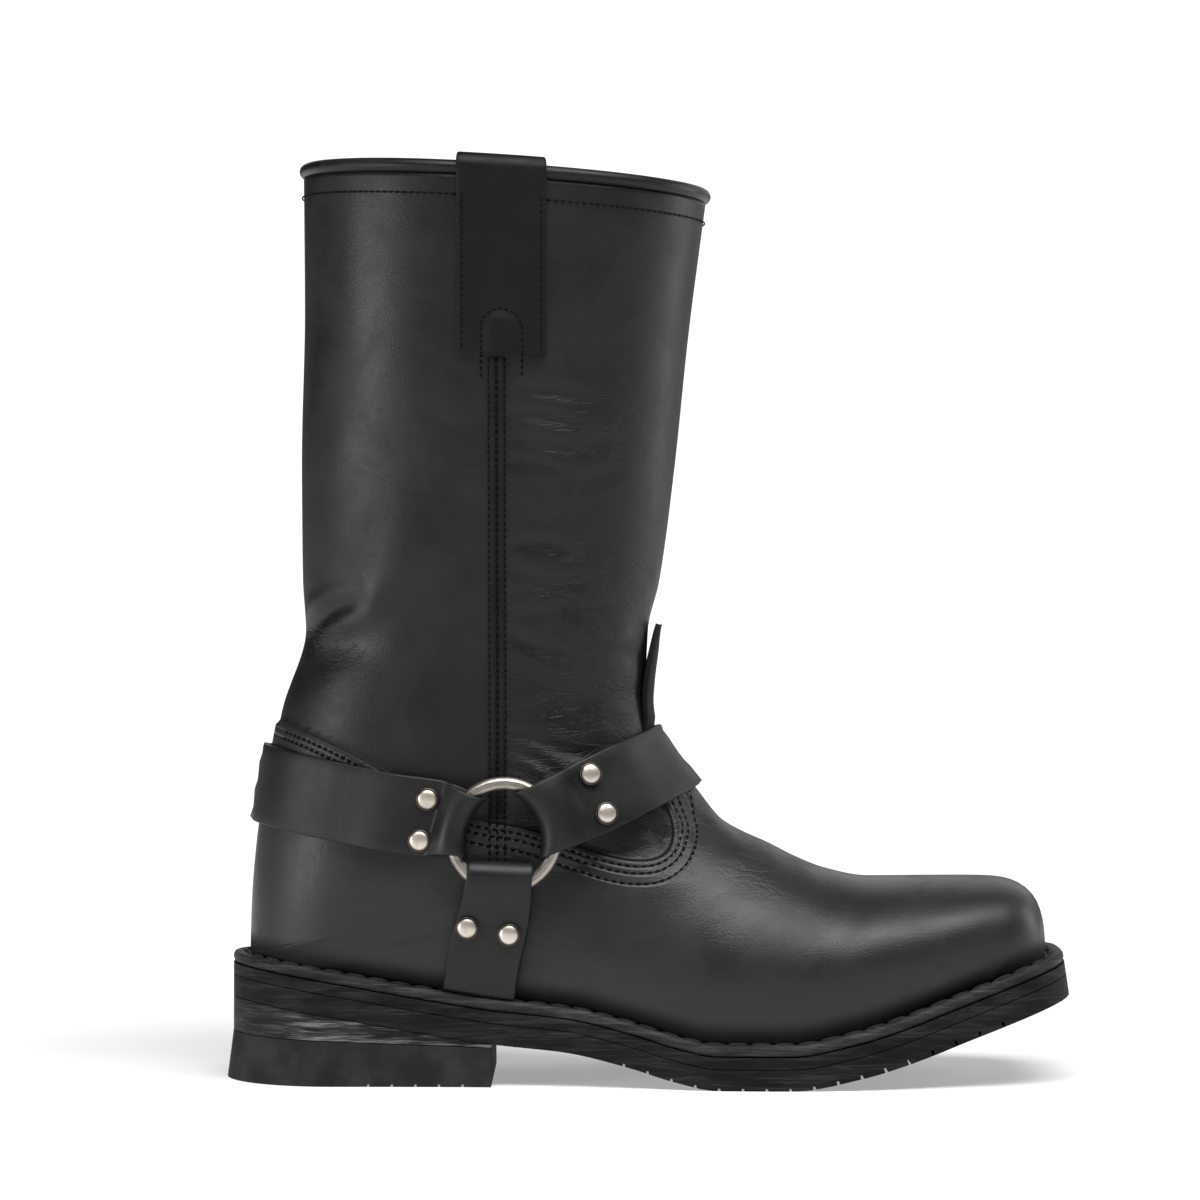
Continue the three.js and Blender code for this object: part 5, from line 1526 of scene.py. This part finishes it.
def make_rubber(name, dark, pale, rough, streaks=None, depth=0.1, rubbed_from=None):
    """Matt moulded rubber or stacked heel board, dusty, with rubbed streaks along it where given."""
    material, tree, shader, place = new_material(name)
    speck = noise(tree, place, 1500, 3, 0.6)
    cloud = noise(tree, place, 60, 4, 0.6)
    colour = blended(tree, times(tree, remap(tree, cloud, 0.35, 0.75), 0.8), dark, pale)
    height = times(tree, speck, 0.6)
    if streaks:
        scraped = noise(tree, stretched(tree, place, (1.0, 1.0, 13.0)), 30, 6, 0.68, 0.5)
        fine = noise(tree, stretched(tree, place, (1.0, 1.0, 22.0)), 80, 5, 0.7)
        mask = times(tree, remap(tree, scraped, 0.42, 0.64), remap(tree, fine, 0.35, 0.62))
        if rubbed_from:
            along_boot = add_node(tree, "SeparateXYZ", {"Vector": place}).outputs["X"]
            start, end = ((x - FRAME_SHIFT) * MILLIMETRE for x in rubbed_from)
            mask = times(tree, mask, remap(tree, along_boot, start, end, 0.2, 1.0))
        colour = blended(tree, mask, colour, streaks)
        height = plus(tree, height, times(tree, fine, 1.6))
    tree.links.new(colour, shader.inputs["Base Color"])
    tree.links.new(maths(tree, "MULTIPLY_ADD", cloud, 0.16, rough - 0.08), shader.inputs["Roughness"])
    shader.inputs["Specular IOR Level"].default_value = 0.14
    set_bump(tree, shader, height, depth)
    return material


def make_metal(name, bright, dull, rough, grooved=False):
    """Antique nickel: warm, brushed, and darker where it is recessed."""
    material, tree, shader, place = new_material(name)
    shader.inputs["Metallic"].default_value = 1
    cloud = noise(tree, place, 240, 4, 0.6, 0.4)
    brushed = noise(tree, stretched(tree, place, (1.0, 1.0, 6.0)), 1400, 3, 0.6)
    tarnish = remap(tree, cloud, 0.38, 0.72)
    colour = blended(tree, times(tree, tarnish, 0.55), bright, dull)
    if grooved:
        recess = attribute_value(tree, "recess")
        colour = blended(tree, recess, colour, (0.03, 0.028, 0.026))
    tree.links.new(colour, shader.inputs["Base Color"])
    tree.links.new(maths(tree, "MULTIPLY_ADD", cloud, 0.22, rough - 0.1), shader.inputs["Roughness"])
    set_bump(tree, shader, brushed, 0.05, 0.5)
    return material


def make_thread(name, colour):
    """Waxed thread, twisted at the scale of its strands."""
    material, tree, shader, place = new_material(name)
    strands = noise(tree, stretched(tree, place, (1.0, 1.0, 1.6)), 1900, 2)
    shade = blended(tree, strands, [c * 0.5 for c in colour], [c * 1.5 for c in colour])
    tree.links.new(shade, shader.inputs["Base Color"])
    shader.inputs["Roughness"].default_value = 0.75
    shader.inputs["Specular IOR Level"].default_value = 0.12
    set_bump(tree, shader, strands, 0.15)
    return material


leather_oiled = make_leather(
    "leather_oiled", (0.003, 0.003, 0.0028), (0.0095, 0.009, 0.0084), rough=0.4, gloss=0.34, pebble=0.35,
    wrinkled=True, vamp_tone_and_sheen=(0.018, 0.0202, 0.019))
strap_leather = make_leather(
    "strap_leather", grey(0.0026), (0.0075, 0.0073, 0.007), rough=0.42, gloss=0.38, pebble=0.25, scale=1.2,
    depth=0.08)
pull_leather = make_leather(
    "pull_leather", (0.002, 0.002, 0.0022), grey(0.0045), rough=0.48, gloss=0.2, pebble=0.3, scale=1.3,
    depth=0.07)
binding_leather = make_leather(
    "binding_leather", grey(0.003), grey(0.009), rough=0.38, gloss=0.3, pebble=0.3, scale=1.2, depth=0.08)
lining_leather = make_leather(
    "lining_leather", (0.05, 0.045, 0.04), (0.08, 0.072, 0.064), rough=0.7, gloss=0.3, pebble=0.2, depth=0.08)
insole_leather = make_leather(
    "insole_leather", (0.22, 0.15, 0.09), (0.3, 0.21, 0.14), rough=0.65, gloss=0.3, pebble=0.15, depth=0.08)
welt_rubber = make_rubber("welt_rubber", grey(0.01), grey(0.026), 0.55, streaks=grey(0.06), depth=0.12)
sole_rubber = make_rubber(
    "sole_rubber", (0.003, 0.003, 0.0032), (0.009, 0.009, 0.0095), 0.66, streaks=grey(0.028))
lift_rubber = make_rubber("lift_rubber", grey(0.012), (0.034, 0.033, 0.032), 0.7)
heel_stack = make_rubber(
    "heel_stack", grey(0.007), grey(0.014), 0.6, streaks=grey(0.2), rubbed_from=(4, 26))
nickel = make_metal("nickel", (0.42, 0.385, 0.34), (0.2, 0.18, 0.155), 0.36)
nickel_cap = make_metal("nickel_cap", (0.72, 0.64, 0.56), (0.4, 0.35, 0.3), 0.4, grooved=True)
welt_thread = make_thread("welt_thread", grey(0.02))
thread = make_thread("thread", grey(0.0012))


def above_sole(rise):
    """The height that lies a rise above the outsole's underside."""
    return lambda x: underside(x) + rise


def lift_top(x):
    """Height of the heel lift's top."""
    return mix(LIFT_BACK, LIFT_FRONT, (x + WELT_WIDTH) / (BREAST + WELT_WIDTH))


def floor_level(x):
    """Height of the floor."""
    return 0.0 * x


# The pieces
make_upper()
make_layer("boot_midsole", above_sole(MIDSOLE_BASE + MIDSOLE_THICKNESS), above_sole(MIDSOLE_BASE),
           sole_rubber, "midsole")
outsole = make_layer("boot_outsole", above_sole(OUTSOLE_THICKNESS), underside, sole_rubber,
                     "outsole")
cut_gaps(outsole, 0.47 * FOOT_LENGTH, TOE_PIVOT + 0.5 * TOE_REACH, underside)
make_layer("boot_heel_wedge", above_sole(-GAP), lambda x: lift_top(x) + GAP, heel_stack,
           "heel_wedge", until=BREAST, edge=0.3)
lift = make_layer("boot_heel_lift", lift_top, floor_level, lift_rubber, "heel_lift",
                  flare=LIFT_FLARE, until=BREAST)
cut_gaps(lift, 0.5 * BREAST, BREAST - LUG_PITCH / 2, floor_level)

WELT_TOP = WELT_BASE + WELT_THICKNESS
# Welt: margin and rise of its section, rounded along its edge
WELT_PROFILE = (
    (-WALL, WELT_BASE),
    (3, WELT_BASE),
    (WELT_WIDTH - 1.2, WELT_BASE),
    (WELT_WIDTH - 0.4, WELT_BASE + 0.4),
    (WELT_WIDTH, WELT_BASE + 1.4),
    (WELT_WIDTH, WELT_TOP - 1.6),
    (WELT_WIDTH - 0.5, WELT_TOP - 0.5),
    (WELT_WIDTH - 1.5, WELT_TOP),
    (3.6, WELT_TOP),
    (2.8, WELT_TOP - 0.35),
    (0.8, WELT_TOP - 0.35),
    (0.2, WELT_TOP),
    (-WALL, WELT_TOP),
)
make_welt()
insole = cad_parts["insole"].data
insole.materials.clear()
insole.materials.append(insole_leather)

heel_belt = Belt(HEEL_STRAP_ANGLE, 0.55 * RING_SET_BACK)
instep_belt = Belt(INSTEP_STRAP_ANGLE, 0.38 * RING_SET_BACK)
make_belt_strap("boot_heel_strap", heel_belt, HEEL_STRAP_WIDTH, HEEL_FOLD, HEEL_RIVET_REACH, "heel_strap")
make_belt_strap("boot_instep_strap", instep_belt, INSTEP_STRAP_WIDTH, INSTEP_FOLD, INSTEP_RIVET_REACH,
                "instep_strap")
for label, side in SIDES:
    make_arch_strap("boot_arch_strap_" + label, side, "arch_strap_" + label)
    make_ring("boot_ring_" + label, side, "ring_" + label)
    make_pull_strap("boot_pull_strap_" + label, side, "pull_strap_" + label)
    make_side_seam("boot_side_seam_" + label, side, "side_seam_" + label)
    for strap in ("heel", "instep", "arch"):
        for end in ("1", "2"):
            tail = "_".join((strap, label, end))
            make_rivet("boot_rivet_" + tail, "rivet_" + tail)
make_tongue("boot_tongue_tab", instep_belt, "tongue_tab")
make_binding("boot_collar_binding", "collar_binding")

# Stitches: pitch, then length, width and height
VAMP_STITCH = (2.9, (2.1, 1.0, 0.5))
COUNTER_STITCH = (2.6, (2.0, 1.1, 0.7))
SEAM_STITCH = (2.5, (1.9, 0.95, 0.5))
PULL_STITCH = (2.2, (1.6, 0.8, 0.45))
TAB_STITCH = (2.2, (1.6, 0.9, 0.5))
COLLAR_STITCH = (2.6, (2.0, 0.9, 0.5))
WELT_STITCH = (8.2, (7.9, 2.2, 1.3))
# Where the edges of vamp and counter are clear of the straps, along X and in height
VAMP_SEEN = (74, 153)
VAMP_SEEN_BELOW = 104
COUNTER_SEEN = (6, 62)
# Places along a line where a stitch row's course is taken
SEAM_SAMPLES = 140
PULL_SAMPLES = 60
TAB_SAMPLES = 70
# Rows of stitches from the seam's middle, and how far they run on below its strip
SEAM_ROWS = (-2.75, 0, 2.75)
SEAM_TAIL = 17
# Stitch rows set in from the edges of pull strap, tab and collar, and out from the foot to the welt's row
PULL_INSET = 1.8
TAB_OUTSET = 1.6
COLLAR_INSET = 7.2
WELT_ROW = 2.8


def stitch_sides(rows, side):
    """The stitch rows of one side: vamp edge, counter edge, side seam and pull strap."""
    x, z = vamp_edge.T
    at_vamp = (x > VAMP_SEEN[0]) & (x < VAMP_SEEN[1]) & (z < VAMP_SEEN_BELOW)
    at_counter = (x > COUNTER_SEEN[0]) & (x < COUNTER_SEEN[1])
    sewn = ((at_vamp, VAMP_LINES, VAMP_STITCH), (at_counter, VAMP_LINES[:2], COUNTER_STITCH))
    for part, offsets, stitch in sewn:
        for offset in offsets:
            points, normals = side_row(beside_line(vamp_edge[part], offset), side, VAMP_STEP + 0.1)
            add_stitches(rows, points, normals, *stitch)
    seam_head = float(rim_at(SEAM_PLACE)) - PULL_LENGTH - 1
    z = np.linspace(SEAM_FOOT - SEAM_TAIL, seam_head, SEAM_SAMPLES)
    for offset in SEAM_ROWS:
        points, normals = on_flank(SEAM_PLACE + offset, z, side)
        on_strip = SEAT + SEAM_THICKNESS - (0.3 if offset == 0 else 0.55)
        lift_off = np.where(z > SEAM_FOOT, on_strip, VAMP_STEP + 0.1)
        add_stitches(rows, points + normals * lift_off[:, None], normals, *SEAM_STITCH)
    place = pull_place(side)
    foot = float(rim_at(PULL_SET)) - PULL_LENGTH
    face = SEAT + PULL_THICKNESS

    def sew(d, v, h, stitch):
        points = place(d, v, h)
        add_stitches(rows, points, unit(place(d, v, h + 1) - points), *stitch)

    edge_row = np.linspace(foot + 1, foot + PULL_LENGTH - 2, PULL_SAMPLES)
    for v in (-PULL_WIDTH / 2 + PULL_INSET, PULL_WIDTH / 2 - PULL_INSET):
        sew(edge_row, np.full(PULL_SAMPLES, v), np.full(PULL_SAMPLES, face), PULL_STITCH)
    reach = TAB_HALF + TAB_OUTSET
    crown = [(-reach * math.cos(turn), TAB_REACH - TAB_HALF + reach * math.sin(turn))
             for turn in np.linspace(0, math.pi, 18)]
    arch = np.array([(-reach, -9), *crown, (reach, -9)])
    lengths = travel(arch)
    v, up = sampled(np.linspace(0, lengths[-1], TAB_SAMPLES), lengths, arch).T
    sew(foot + up, v, np.where(up > 0, face, SEAT - 0.1), TAB_STITCH)


stitch_rows = []
for _, side in SIDES:
    stitch_sides(stitch_rows, side)
collar_row = leather[-1] - collar_up * COLLAR_INSET
add_stitches(stitch_rows, collar_row + leather_normals[-1] * 0.1, leather_normals[-1], *COLLAR_STITCH)
set_stitching("boot_stitching", stitch_rows, thread)
welt_row = rim_loop(WELT_ROW, WELT_TOP)
welt_rows = []
add_stitches(welt_rows, welt_row, np.tile([0, 0, 1.0], (len(welt_row), 1)), *WELT_STITCH)
set_stitching("boot_welt_stitching", welt_rows, welt_thread)


# Stage: white floor and ground, soft lights, and the camera at mid height on the outer side
FLOOR_REACH = 4
GROUND_SEEN = 1.15
GROUND_LIT = 0.04
LIT_PLACE = (0, 0, 0.14)


def add_floor():
    """A white floor that takes the boot's shadow near it and fades into the white ground away from it."""
    sheet = bmesh.new()
    bmesh.ops.create_circle(sheet, cap_ends=True, segments=64, radius=FLOOR_REACH)
    floor = add_object("floor", mesh_from("floor", sheet))
    material, tree, shader, place = new_material("floor_white")
    shader.inputs["Base Color"].default_value = (0.92, 0.92, 0.92, 1)
    shader.inputs["Roughness"].default_value = 0.9
    shader.inputs["Specular IOR Level"].default_value = 0.0
    far = add_node(tree, "VectorMath", {0: place}, operation="LENGTH").outputs["Value"]
    shine = add_node(tree, "Emission", {"Color": (1, 1, 1, 1), "Strength": GROUND_SEEN})
    fade = remap(tree, far, 0.2, 0.4, 0.3)
    blend = add_node(tree, "MixShader", {0: fade, 1: shader.outputs[0], 2: shine.outputs[0]})
    tree.links.new(blend.outputs[0], tree.nodes["Material Output"].inputs["Surface"])
    floor.data.materials.append(material)


def add_light(name, place, size, power):
    """A soft light facing the middle of the boot."""
    lamp = bpy.data.lights.new(name, "AREA")
    lamp.shape = "RECTANGLE"
    lamp.size, lamp.size_y = size
    lamp.energy = power
    light = add_object(name, lamp)
    light.location = place
    light.visible_camera = False
    light.rotation_euler = (Vector(LIT_PLACE) - Vector(place)).to_track_quat("-Z", "Y").to_euler()


def set_world():
    """A white ground for the camera, and a dimmer one for what lights the boot."""
    world = bpy.data.worlds.new("studio")
    bpy.context.scene.world = world
    world.use_nodes = True
    tree = world.node_tree
    ground = tree.nodes["Background"]
    ground.inputs["Color"].default_value = (1, 1, 1, 1)
    seen = add_node(tree, "LightPath").outputs["Is Camera Ray"]
    strength = add_node(tree, "Mix", {0: seen, 2: GROUND_LIT, 3: GROUND_SEEN}, data_type="FLOAT")
    tree.links.new(strength.outputs[0], ground.inputs["Strength"])


add_floor()
set_world()
add_light("side", (-1.5, -0.75, 0.2), (0.5, 0.5), 11)
add_light("front", (1.5, 0.55, 0.5), (0.5, 1.2), 8)
add_light("top", (0.2, -0.7, 1.55), (1.7, 0.9), 42)
add_light("back", (0.4, 1.9, 1.0), (2.6, 1.2), 9)

camera = bpy.data.cameras.new("camera")
camera.lens = 123.3
camera.sensor_width = 36
camera.clip_start = 0.05
viewer = add_object("camera", camera)
viewer.location = (-0.0171, -1.5, 0.173)
viewer.rotation_euler = (math.pi / 2, 0, 0)
bpy.context.scene.camera = viewer
bpy.context.scene.view_settings.view_transform = "Standard"
